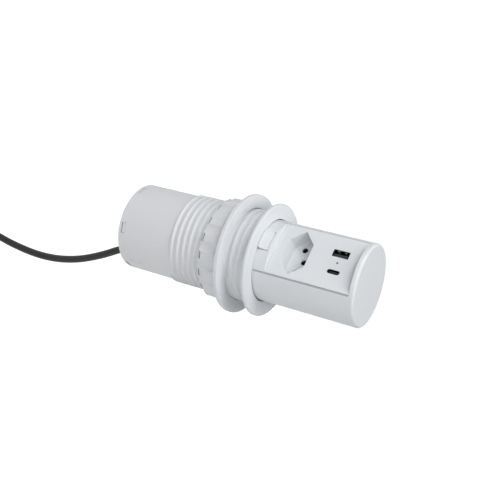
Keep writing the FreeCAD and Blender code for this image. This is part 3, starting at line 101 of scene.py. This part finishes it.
# %% [markdown]
# ## The mains cord
#
# A mains cord is a fixed length of something springy. It leaves the sleeve's end through
# a gland, sinks into a lazy bow, and what isn't needed is folded into a hank and tied. A
# mesh tube would need hundreds of rings; a NURBS curve needs only the few points that its
# line leans on, and its bevel gives the round section. The order is set after the points
# are added, because a spline with too few points would quietly drop it. The places are
# in millimetres until the whole line is scaled.

# %% The cord's line
CORD_RADIUS = 3 * MM
LEAD_ROUTE = np.array([
    (15.2, 11.4, -106.5),
    (15.2, 11.4, -125),
    (26.5, 19.7, -151),
    (35, 26, -179),
    (39, 28, -209),
    (38, 25, -241),
    (34, 19, -271),
    (31, 15, -297),
    (31, 15, -320),
])
HANK_MIDDLE = 8.5
HANK_HIGH, HANK_LOW = -326, -434
HANK_LAYERS = 15, 21.95
HANK_TAIL_END = -448
OUTER_RUN, RUN_STEP = 22.5, 3.475
STEPS_INWARD = 0, 1, 2, 3, 2, 1, 0
CHANGING_RUN = 3
STRAIGHT, WAIST = 14, 7.5
HALF_STEP = math.radians(22.5)


def hank_runs():
    """Each run's place across the hank, and the layers that it starts and ends in.

    The runs step inward from side to side, and out again in the second layer.
    """
    first, second = HANK_LAYERS
    runs = []
    for number, steps in enumerate(STEPS_INWARD):
        side = 1 if number % 2 == 0 else -1
        enter_y = first if number <= CHANGING_RUN else second
        leave_y = first if number < CHANGING_RUN else second
        runs.append((side * (OUTER_RUN - steps * RUN_STEP), enter_y, leave_y))
    return runs


def hank_line():
    """Points that the folded hank leans on, one row each, in millimetres.

    Each run goes straight for 14 mm, leans in at the waist where the tie sits, and leans
    out again. Each half turn has four points, at 22.5 degrees from its ends and 45 degrees
    apart, on a circle wider than the turn by 1 / cos(22.5 degrees), so that the curve
    that they pull touches the turn itself.
    """
    runs = hank_runs()
    middle_z = (HANK_HIGH + HANK_LOW) / 2
    wide = 1 / math.cos(HALF_STEP)
    rows = []
    for number, (across, enter_y, leave_y) in enumerate(runs):
        sign = -1 if number % 2 == 0 else 1
        start_z, end_z = (HANK_HIGH, HANK_LOW) if sign < 0 else (HANK_LOW, HANK_HIGH)
        drawn_in = across - math.copysign(WAIST, across)
        between_y = (enter_y + leave_y) / 2
        rows += [
            (across, enter_y, start_z + sign * STRAIGHT),
            (drawn_in, between_y, middle_z - sign * STRAIGHT),
            (drawn_in, between_y, middle_z + sign * STRAIGHT),
            (across, leave_y, end_z - sign * STRAIGHT),
        ]
        if number + 1 < len(runs):
            beyond = runs[number + 1][0]
            centre = (across + beyond) / 2
            radius = (across - beyond) / 2
            for half_steps in (1, 3, 5, 7):
                angle = half_steps * HALF_STEP
                rows.append((centre + radius * wide * math.cos(angle), leave_y,
                             end_z + sign * abs(radius) * wide * math.sin(angle)))
    last_across, _, last_y = runs[-1]
    rows.append((last_across, last_y, HANK_TAIL_END))
    return np.array(rows) + (HANK_MIDDLE, 0, 0)


cord_points = np.concatenate([LEAD_ROUTE, hank_line()]) * MM
print("points on the cord's spline:", len(cord_points))

# %% The cord itself
curve = bpy.data.curves.new("mains_cord", "CURVE")
curve.dimensions = "3D"
curve.bevel_depth = 1.0
curve.bevel_resolution = 5
curve.resolution_u = 10
curve.use_fill_caps = True
spline = curve.splines.new("NURBS")
spline.points.add(len(cord_points) - 1)
weighted_points = np.column_stack([cord_points, np.ones(len(cord_points))])
spline.points.foreach_set("co", weighted_points.ravel())
spline.points.foreach_set("radius", np.full(len(cord_points), CORD_RADIUS))
spline.order_u = 3
spline.use_endpoint_u = True
mains_cord = bpy.data.objects.new("mains_cord", curve)
bpy.context.scene.collection.objects.link(mains_cord)
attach(mains_cord, "housing")
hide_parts("cord_lead", "cord_hank")
print("cord radius:", CORD_RADIUS)

# %% [markdown]
# ## Shader maths that reads like maths
#
# A finish is a small graph of nodes. Wiring it by hand hides the idea behind links, so one
# class holds a node's output and lets plain signs add the Math nodes: `1 - mask * 0.3`
# means what it says. A second class holds the material being made, and its one method adds
# any other node from its type, its settings and its inputs.

# %% Two small classes
class Tone:
    """One output of a node. Signs between tones and numbers add Math nodes."""

    def __init__(self, finish, socket):
        self.finish = finish
        self.socket = socket

    def maths(self, operation, first, second):
        """A Math node over two values, either of which may be a plain number."""
        return self.finish.node("ShaderNodeMath", {"operation": operation},
                                {0: first, 1: second})

    def __add__(self, other):
        return self.maths("ADD", self, other)

    def __radd__(self, other):
        return self.maths("ADD", other, self)

    def __rsub__(self, other):
        return self.maths("SUBTRACT", other, self)

    def __mul__(self, other):
        return self.maths("MULTIPLY", self, other)

    def __gt__(self, other):
        return self.maths("GREATER_THAN", self, other)


class Finish:
    """A material under construction around its shader."""

    def __init__(self, name, **constants):
        self.material = bpy.data.materials.new(name)
        self.material.use_nodes = True
        self.tree = self.material.node_tree
        self.shader = self.tree.nodes["Principled BSDF"]
        for socket_name, value in constants.items():
            self.shader.inputs[socket_name.replace("_", " ")].default_value = value

    def node(self, kind, settings=None, inputs=None, output=0):
        """Adds a node: its settings first, then its sockets."""
        made = self.tree.nodes.new(kind)
        for name, value in (settings or {}).items():
            setattr(made, name, value)
        for name, value in (inputs or {}).items():
            self.feed(made.inputs[name], value)
        return Tone(self, made.outputs[output])

    def feed(self, socket, value):
        """Links a tone to a socket, or sets the socket's own value."""
        if isinstance(value, Tone):
            self.tree.links.new(value.socket, socket)
        else:
            socket.default_value = value

    def wear(self, **tones):
        """Feeds tones to the shader's sockets by name."""
        for socket_name, tone in tones.items():
            self.feed(self.shader.inputs[socket_name.replace("_", " ")], tone)


print("shader classes ready")

# %% [markdown]
# ## Where a pattern sits
#
# Every finish reads Object coordinates. The frame's objects all sit at the origin with
# their place in their mesh, so these are plain metres, and a grain of a third of a
# millimetre is a noise scale of about 3000. Nothing depends on the camera, so a pattern
# stays put when the object is turned.

# %% Patterns that several finishes share
MIX_SHARE, MIX_FIRST, MIX_SECOND, MIX_RESULT = 0, 6, 7, 2


def spot_at(finish, stretch=(1, 1, 1)):
    """Object coordinates, drawn out along an axis where the stretch is below 1."""
    here = finish.node("ShaderNodeTexCoord", output="Object")
    return finish.node("ShaderNodeMapping", {}, {"Vector": here, "Scale": stretch})


def speckle(finish, scale, detail=2.0, roughness=0.5, stretch=(1, 1, 1)):
    """Noise between 0 and 1 with features of about 1 / scale metres."""
    return finish.node("ShaderNodeTexNoise", {}, {
        "Vector": spot_at(finish, stretch), "Scale": scale, "Detail": detail,
        "Roughness": roughness,
    })


def dented(finish, height, depth, strength):
    """A bump whose full height is a depth in metres."""
    return finish.node("ShaderNodeBump", {}, {
        "Height": height, "Distance": depth, "Strength": strength,
    })


def blended(finish, share, first, second):
    """A colour between two, by a share from 0 to 1.

    A Mix node keeps its colour sockets behind those for numbers and vectors, and all of
    them have the same names, so they are reached by place.
    """
    return finish.node("ShaderNodeMix", {"data_type": "RGBA"}, {
        MIX_SHARE: share, MIX_FIRST: first, MIX_SECOND: second,
    }, output=MIX_RESULT)


print("patterns ready")

# %% [markdown]
# ## Moulded white plastic
#
# All the white pieces are the same satin plastic, moulded in tools with a fine spark
# grain. Three things keep it from looking like flat paint: the grain itself, as a very
# shallow bump; a slow, faint change of tone where the material flowed; and a little
# unevenness in the gloss, which breaks up the highlights. The sleeve below the desk is a
# touch duller than the tower above it, as the picture shows. The tower's shells meet beside
# the flat face in a fine joint, and the shade in its gap is painted onto their edge.

# %% The white finishes
# Where the shells' joint runs beside the flat face: a dark grey strip there is painted shade
# for the gap's shadow.
SEAM_FRONT = 21.85 * MM
SEAM_BACK = 20.85 * MM
SEAM_SIDE = 20.3 * MM
SEAM_LOW = 2.4 * MM
SEAM_HIGH = 74.2 * MM
SEAM_PAINTED_SHADE = (0.48, 0.49, 0.50, 1)


def in_painted_seam_shade(finish):
    """1 where the joint's shade is painted beside the flat face, collar to cap, else 0."""
    across, along, up = [
        finish.node("ShaderNodeSeparateXYZ", {}, {"Vector": spot_at(finish)}, output=axis)
        for axis in "XYZ"
    ]
    side = finish.node("ShaderNodeMath", {"operation": "ABSOLUTE"}, {0: across})
    front = 0 - along
    edge = (front > SEAM_BACK) * (1 - (front > SEAM_FRONT)) * (side > SEAM_SIDE)
    return edge * (up > SEAM_LOW) * (1 - (up > SEAM_HIGH))


def moulded_white(name, light, shade, roughness, grain, painted_seam_shade=False):
    """Satin plastic between two near tones, with a spark grain of the given depth in metres."""
    finish = Finish(name, Specular_IOR_Level=0.42, IOR=1.49)
    flow = speckle(finish, scale=24, detail=2.0, roughness=0.55)
    cloud = speckle(finish, scale=260, detail=3.0, roughness=0.6)
    spark = speckle(finish, scale=3200, detail=3.0, roughness=0.62)
    share = flow * 0.7 + cloud * 0.3
    tone = blended(finish, share, (*light, 1), (*shade, 1))
    if painted_seam_shade:
        # Painted shade: the joint's strip is blended towards a dark grey.
        tone = blended(finish, in_painted_seam_shade(finish), tone, SEAM_PAINTED_SHADE)
    finish.wear(Base_Color=tone,
                Roughness=roughness - 0.05 + cloud * 0.08 + spark * 0.05,
                Normal=dented(finish, spark + cloud * 0.4, depth=grain, strength=0.5))
    return finish.material


shell_white = moulded_white(
    "shell_white", light=(0.775, 0.798, 0.822), shade=(0.735, 0.762, 0.788),
    roughness=0.48, grain=30 * MICRON, painted_seam_shade=True)
sleeve_white = moulded_white(
    "sleeve_white", light=(0.768, 0.785, 0.808), shade=(0.728, 0.747, 0.770),
    roughness=0.50, grain=50 * MICRON)
catch_white = moulded_white(
    "catch_white", light=(0.755, 0.779, 0.801), shade=(0.726, 0.752, 0.776),
    roughness=0.42, grain=20 * MICRON)
# The recess is the same white plastic, lifted a few per cent as painted light against the shade
# inside it.
recess_white = moulded_white(
    "recess_white", light=(0.790, 0.812, 0.834), shade=(0.750, 0.774, 0.796),
    roughness=0.44, grain=40 * MICRON)
print("white finishes made")

# %% [markdown]
# ## Black cord and black mouldings
#
# The cord's jacket is soft black plastic: nearly black, a little grey where it catches
# light, with drawing lines so fine that they only soften the shine. Plug, tie and port
# tongues are harder and smoother. Black that is truly 0 looks like a hole, so the darkest
# tone stays a little above it.

# %% The black finishes
def black_jacket():
    """Soft cord plastic with fine scuffs."""
    finish = Finish("cord_black", Specular_IOR_Level=0.4)
    scuff = speckle(finish, scale=420, detail=4.0, roughness=0.65)
    fine = speckle(finish, scale=2600, detail=2.0, roughness=0.5)
    colour = blended(finish, scuff, (0.007, 0.0075, 0.008, 1), (0.015, 0.016, 0.017, 1))
    finish.wear(Base_Color=colour,
                Roughness=0.42 + scuff * 0.22,
                Normal=dented(finish, fine + scuff, depth=40 * MICRON, strength=0.6))
    return finish.material


def black_moulding():
    """Hard black plastic with a spark grain."""
    finish = Finish("black_plastic", Specular_IOR_Level=0.45)
    cloud = speckle(finish, scale=180, detail=3.0)
    spark = speckle(finish, scale=2400, detail=3.0, roughness=0.6)
    colour = blended(finish, cloud, (0.013, 0.013, 0.014, 1), (0.026, 0.027, 0.029, 1))
    finish.wear(Base_Color=colour,
                Roughness=0.38 + spark * 0.14,
                Normal=dented(finish, spark, depth=40 * MICRON, strength=0.6))
    return finish.material


cord_black = black_jacket()
black_plastic = black_moulding()
mains_cord.data.materials.append(cord_black)
print("black finishes made")

# %% [markdown]
# ## Metals
#
# The contacts and the plug's pins are nickel-plated brass, the screws zinc-plated steel
# and the port shells a dark plated steel that swallows the light inside them. A metal's
# look is its roughness: fine brushing along one axis, drawn with noise that is stretched
# far along that axis.

# %% The metal finishes
def brushed_metal(name, light, shade, low, high, stretch, depth):
    """Metal between two tones and two roughnesses, brushed along the stretched axis."""
    finish = Finish(name, Metallic=1.0)
    stroke = speckle(finish, scale=1800, detail=3.0, roughness=0.6, stretch=stretch)
    patch = speckle(finish, scale=220, detail=2.0)
    colour = blended(finish, patch, (*light, 1), (*shade, 1))
    finish.wear(Base_Color=colour,
                Roughness=low + stroke * (high - low),
                Normal=dented(finish, stroke, depth=depth, strength=0.5))
    return finish.material


bright_contact = brushed_metal(
    "bright_contact", light=(0.68, 0.67, 0.63), shade=(0.58, 0.56, 0.52),
    low=0.16, high=0.34, stretch=(1, 1, 0.04), depth=20 * MICRON)
port_metal = brushed_metal(
    "port_metal", light=(0.060, 0.062, 0.066), shade=(0.035, 0.036, 0.040),
    low=0.30, high=0.48, stretch=(1, 0.05, 1), depth=20 * MICRON)
screw_steel = brushed_metal(
    "screw_steel", light=(0.62, 0.63, 0.65), shade=(0.50, 0.51, 0.54),
    low=0.22, high=0.42, stretch=(0.3, 0.3, 1), depth=30 * MICRON)
spring_steel = brushed_metal(
    "spring_steel", light=(0.66, 0.66, 0.67), shade=(0.55, 0.55, 0.57),
    low=0.20, high=0.35, stretch=(1, 0.05, 1), depth=20 * MICRON)
print("metal finishes made")

# %% [markdown]
# ## What sits inside
#
# The charger board, the transformer, the capacitors and the wires can only be seen with
# the tower opened, but they are finished all the same: green solder mask with copper
# tracks under it, a dark ferrite core, yellow winding tape with its laps, and nylon for
# the block, the carrier and the cover.

# %% The inner finishes
def solder_mask():
    """Green lacquer, lighter where a copper track runs under it."""
    finish = Finish("board_green", Specular_IOR_Level=0.5)
    tracks = finish.node("ShaderNodeTexBrick", {"offset": 0.35}, {
        "Vector": spot_at(finish), "Scale": 220.0,
        "Color1": (1, 1, 1, 1), "Color2": (0.6, 0.6, 0.6, 1), "Mortar": (0, 0, 0, 1),
        "Mortar Size": 0.03, "Brick Width": 1.4, "Row Height": 0.35,
    }, output="Fac")
    cloud = speckle(finish, scale=500, detail=2.0)
    colour = blended(finish, tracks, (0.020, 0.120, 0.050, 1), (0.045, 0.200, 0.085, 1))
    finish.wear(Base_Color=colour,
                Roughness=0.24 + cloud * 0.12,
                Normal=dented(finish, tracks, depth=30 * MICRON, strength=0.7))
    return finish.material


def ferrite_core():
    """Dull dark grey ceramic with a sintered grain."""
    finish = Finish("ferrite", Specular_IOR_Level=0.35)
    grain = speckle(finish, scale=1500, detail=4.0, roughness=0.7)
    colour = blended(finish, grain, (0.030, 0.030, 0.032, 1), (0.065, 0.065, 0.068, 1))
    finish.wear(Base_Color=colour,
                Roughness=0.55 + grain * 0.2,
                Normal=dented(finish, grain, depth=50 * MICRON, strength=0.8))
    return finish.material


def winding_tape():
    """Yellow film wound round and round, a step at each lap."""
    finish = Finish("winding_tape", Specular_IOR_Level=0.5)
    laps = finish.node("ShaderNodeTexWave", {
        "wave_type": "BANDS", "bands_direction": "Z", "wave_profile": "SAW",
    }, {
        "Vector": spot_at(finish), "Scale": 160.0, "Distortion": 0.4, "Detail": 1.0,
    })
    cloud = speckle(finish, scale=400, detail=2.0)
    wound = cloud * 0.6 + laps * 0.4
    colour = blended(finish, wound, (0.62, 0.40, 0.06, 1), (0.50, 0.30, 0.04, 1))
    finish.wear(Base_Color=colour,
                Roughness=0.26 + cloud * 0.1,
                Normal=dented(finish, laps, depth=50 * MICRON, strength=0.6))
    return finish.material


def nylon():
    """Off-white insulating plastic, slightly waxy."""
    finish = Finish("insulator", Specular_IOR_Level=0.4)
    cloud = speckle(finish, scale=150, detail=3.0)
    spark = speckle(finish, scale=2000, detail=2.0)
    colour = blended(finish, cloud, (0.66, 0.64, 0.58, 1), (0.58, 0.56, 0.50, 1))
    finish.wear(Base_Color=colour,
                Roughness=0.42 + spark * 0.12,
                Normal=dented(finish, spark, depth=40 * MICRON, strength=0.5))
    return finish.material


def light_guide():
    """Clear grey plastic that looks dark while the light is off."""
    finish = Finish("light_lens", Specular_IOR_Level=0.5, IOR=1.49)
    cloud = speckle(finish, scale=900, detail=2.0)
    colour = blended(finish, cloud, (0.12, 0.13, 0.15, 1), (0.20, 0.22, 0.25, 1))
    finish.wear(Base_Color=colour,
                Roughness=0.16 + cloud * 0.1)
    return finish.material


board_green = solder_mask()
ferrite = ferrite_core()
tape = winding_tape()
insulator = nylon()
light_lens = light_guide()
print("inner finishes made")

# %% [markdown]
# ## Giving each piece its finish
#
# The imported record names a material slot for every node, so the finishes are handed out
# by that name. A node that found no finish would stop the script here, which is better
# than a grey piece in the last picture.

# %% Finishes on the frame's pieces
FINISHES = {
    "shell_white": shell_white, "sleeve_white": sleeve_white, "catch_white": catch_white,
    "recess_white": recess_white, "cord_black": cord_black, "black_plastic": black_plastic,
    "bright_contact": bright_contact, "port_metal": port_metal, "screw_steel": screw_steel,
    "board_green": board_green, "ferrite": ferrite, "winding_tape": tape,
    "light_lens": light_lens, "insulator": insulator,
}
for subpart in frame["record"]["subparts"]:
    for holder in frame["nodes"][subpart["node"]].material_slots:
        holder.material = FINISHES[subpart["material_slot"]]

# %% [markdown]
# ## The springs and contacts in the wide port
#
# Inside the wide port two sprung tongues are pressed out of the shell, and they catch the
# light as two pale spots. Opposite them, on the plastic tongue, lie four contact strips.
# Each is a ribbon: a profile that rises and dips along the port's depth, given a width,
# and thickened. The formula is worked out for all points at once, in millimetres.

# %% A ribbon of sheet metal
POINTS_ACROSS = 5


def ribbon(name, line, across, width, thick, lift):
    """A strip of metal as a grid: the first parameter runs along a line, the second across.

    All of it is in metres. A point is the line's point, plus the across direction times a
    share of the width from minus one half to one half; a Solidify modifier thickens it
    towards the lift.
    """
    along = len(line)
    squares_across = POINTS_ACROSS - 1
    share = np.linspace(-0.5, 0.5, POINTS_ACROSS)
    sideways = share[None, :, None] * width * np.asarray(across)[None, None, :]
    grid = line[:, None, :] + sideways
    square = np.arange((along - 1) * squares_across).reshape(along - 1, squares_across)
    first = (square // squares_across) * POINTS_ACROSS + square % squares_across
    next_row = first + POINTS_ACROSS
    faces = np.stack([first, first + 1, next_row + 1, next_row], axis=-1).reshape(-1, 4)
    mesh = bpy.data.meshes.new(name)
    mesh.from_pydata(grid.reshape(-1, 3).tolist(), [], faces.tolist())
    mesh.update()
    facing = np.mean([polygon.normal[:] for polygon in mesh.polygons], axis=0)
    if np.dot(facing, lift) < 0:
        mesh.flip_normals()
    piece = bpy.data.objects.new(name, mesh)
    bpy.context.scene.collection.objects.link(piece)
    solid = piece.modifiers.new("sheet", "SOLIDIFY")
    solid.thickness = thick
    solid.offset = 1
    for polygon in mesh.polygons:
        polygon.use_smooth = True
    return piece


print("ribbon ready")

# %% The wide port's two springs
FACE_Y = -22.2
PORT_Z = 58.1
WIDE_X, WIDE_WIDTH, WIDE_WALL = -7.2, 5.4, 0.4
DEPTH_POINTS = 17
SPRING_OFFSETS = -2.6, 2.6
SPRING_GAP, SPRING_RISE = 0.06, 0.85
SPRING_START, SPRING_LONG = 1.0, 6.0
SPRING_WIDTH, SPRING_THICK = 1.9, 0.2

inner_wall_x = WIDE_X - WIDE_WIDTH / 2 + WIDE_WALL
depth = np.linspace(0, 1, DEPTH_POINTS)
hump = np.sin(np.pi * depth) ** 2
for number, offset in enumerate(SPRING_OFFSETS, start=1):
    line = np.column_stack([
        inner_wall_x + SPRING_GAP + SPRING_RISE * hump,
        FACE_Y + SPRING_START + SPRING_LONG * depth,
        np.full_like(depth, PORT_Z + offset),
    ]) * MM
    tab = ribbon(f"wide_port_spring_{number}", line, across=(0, 0, 1),
                 width=SPRING_WIDTH * MM, thick=SPRING_THICK * MM, lift=(1, 0, 0))
    tab.data.materials.append(spring_steel)
    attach(tab, "tower")
print("port springs made")

# %% Contact strips on the wide port's tongue
TONGUE_GAP, TONGUE_THICK = 0.5, 1.9
CONTACT_OFFSETS = -3.75, -1.25, 1.25, 3.75
CONTACT_LIFT, CONTACT_CROWN = 0.02, 0.10
CONTACT_START, CONTACT_LONG = 1.9, 7.0
CONTACT_WIDTH, CONTACT_THICK = 1.1, 0.12

tongue_x = WIDE_X + WIDE_WIDTH / 2 - WIDE_WALL - TONGUE_GAP - TONGUE_THICK
crown = CONTACT_LIFT + CONTACT_CROWN * np.sin(np.pi * depth) ** 0.5
for number, offset in enumerate(CONTACT_OFFSETS, start=1):
    line = np.column_stack([
        tongue_x - crown,
        FACE_Y + CONTACT_START + CONTACT_LONG * depth,
        np.full_like(depth, PORT_Z + offset),
    ]) * MM
    strip = ribbon(f"wide_port_contact_{number}", line, across=(0, 0, 1),
                   width=CONTACT_WIDTH * MM, thick=CONTACT_THICK * MM, lift=(-1, 0, 0))
    strip.data.materials.append(bright_contact)
    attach(strip, "tower")
print("contact strips made")

# %% [markdown]
# ## A plain room with soft light
#
# The picture is a studio shot on pure white. The floor is a pale sheet, white to the
# camera and still soft grey where the object shades it. Two lamps stand in front, on
# either side of the flat face, and a third above the cap leans to the front, so that the
# recess's far walls and the rings' low ends fall into shade. Two weaker lamps lift the
# far side and the side that is low in the picture, and one behind, below the desk's
# plane, lights the edges that face away. The room's own pale light fills the rest. All
# of it is plain white, so a finish looks like its own colour.

# %% The floor
FLOOR_Z = cad_box[0].z - 2 * MM
FLOOR_HALF = 8
FLOOR_GLOW = 0.97


def floor_finish():
    """Pale paper, lifted to white for rays that come from the camera, gloss or glass."""
    finish = Finish("pale_floor")
    nodes = finish.tree.nodes
    rays = [finish.node("ShaderNodeLightPath", output=name)
            for name in ("Is Camera Ray", "Is Glossy Ray", "Is Transmission Ray")]
    seen = rays[0] + rays[1] + rays[2]
    fibre = speckle(finish, scale=30, detail=3.0)
    paper_colour = blended(finish, fibre, (0.80, 0.80, 0.80, 1), (0.82, 0.82, 0.82, 1))
    paper = finish.node("ShaderNodeBsdfDiffuse", {}, {"Color": paper_colour})
    faint = finish.node("ShaderNodeBsdfDiffuse", {}, {"Color": (0.25, 0.25, 0.25, 1)})
    glow = finish.node("ShaderNodeEmission", {}, {
        "Color": (1, 1, 1, 1), "Strength": FLOOR_GLOW,
    })
    lifted = finish.node("ShaderNodeAddShader", {}, {0: faint, 1: glow})
    mixed = finish.node("ShaderNodeMixShader", {}, {0: seen, 1: paper, 2: lifted})
    finish.tree.links.new(mixed.socket, nodes["Material Output"].inputs["Surface"])
    nodes.remove(finish.shader)
    return finish.material


floor_corners = [
    (across * FLOOR_HALF, along * FLOOR_HALF, FLOOR_Z)
    for across, along in ((-1, -1), (1, -1), (1, 1), (-1, 1))
]
floor_mesh = bpy.data.meshes.new("floor")
floor_mesh.from_pydata(floor_corners, [], [(0, 1, 2, 3)])
floor = bpy.data.objects.new("floor", floor_mesh)
bpy.context.scene.collection.objects.link(floor)
floor.data.materials.append(floor_finish())
print("floor at", round(FLOOR_Z, 4))

# %% The room's light
ROOM_LIGHT = 0.18
BACKDROP_LIGHT = 1.0

world = bpy.data.worlds.new("room")
bpy.context.scene.world = world
world.use_nodes = True
room = world.node_tree
rays = room.nodes.new("ShaderNodeLightPath")
either = room.nodes.new("ShaderNodeMath")
either.operation = "MAXIMUM"
room.links.new(rays.outputs["Is Camera Ray"], either.inputs[0])
room.links.new(rays.outputs["Is Transmission Ray"], either.inputs[1])
strength = room.nodes.new("ShaderNodeMapRange")
strength.inputs["To Min"].default_value = ROOM_LIGHT
strength.inputs["To Max"].default_value = BACKDROP_LIGHT
room.links.new(either.outputs[0], strength.inputs["Value"])
backdrop = room.nodes["Background"]
backdrop.inputs["Color"].default_value = (1, 1, 1, 1)
room.links.new(strength.outputs["Result"], backdrop.inputs["Strength"])
print("light from the room:", ROOM_LIGHT)

# %% The lamps
LAMP_DISTANCE = 1.3
LAMP_WIDTH = 0.6


def lamp(name, direction, power):
    """A square area lamp that looks at the origin from a direction, its power in watts."""
    light = bpy.data.lights.new(name, "AREA")
    light.size = LAMP_WIDTH
    light.energy = power
    holder = bpy.data.objects.new(name, light)
    bpy.context.scene.collection.objects.link(holder)
    heading = Vector(direction).normalized()
    holder.location = heading * LAMP_DISTANCE
    holder.rotation_euler = heading.to_track_quat("Z", "Y").to_euler()
    return holder


lamps = [
    lamp("front_low", (0.36, -0.78, 0.50), 4.6),
    lamp("front_high", (-0.40, -0.72, 0.57), 6.7),
    lamp("over_the_cap", (0.05, -0.35, 0.93), 5.4),
    lamp("far_side", (-0.50, 0.30, 0.80), 2.1),
    lamp("lower_side", (0.90, 0.30, 0.00), 3.9),
    lamp("behind", (-0.45, 0.85, -0.30), 6.0),
]
bpy.context.scene.view_settings.view_transform = "Standard"
print("lamps:", [holder.name for holder in lamps])
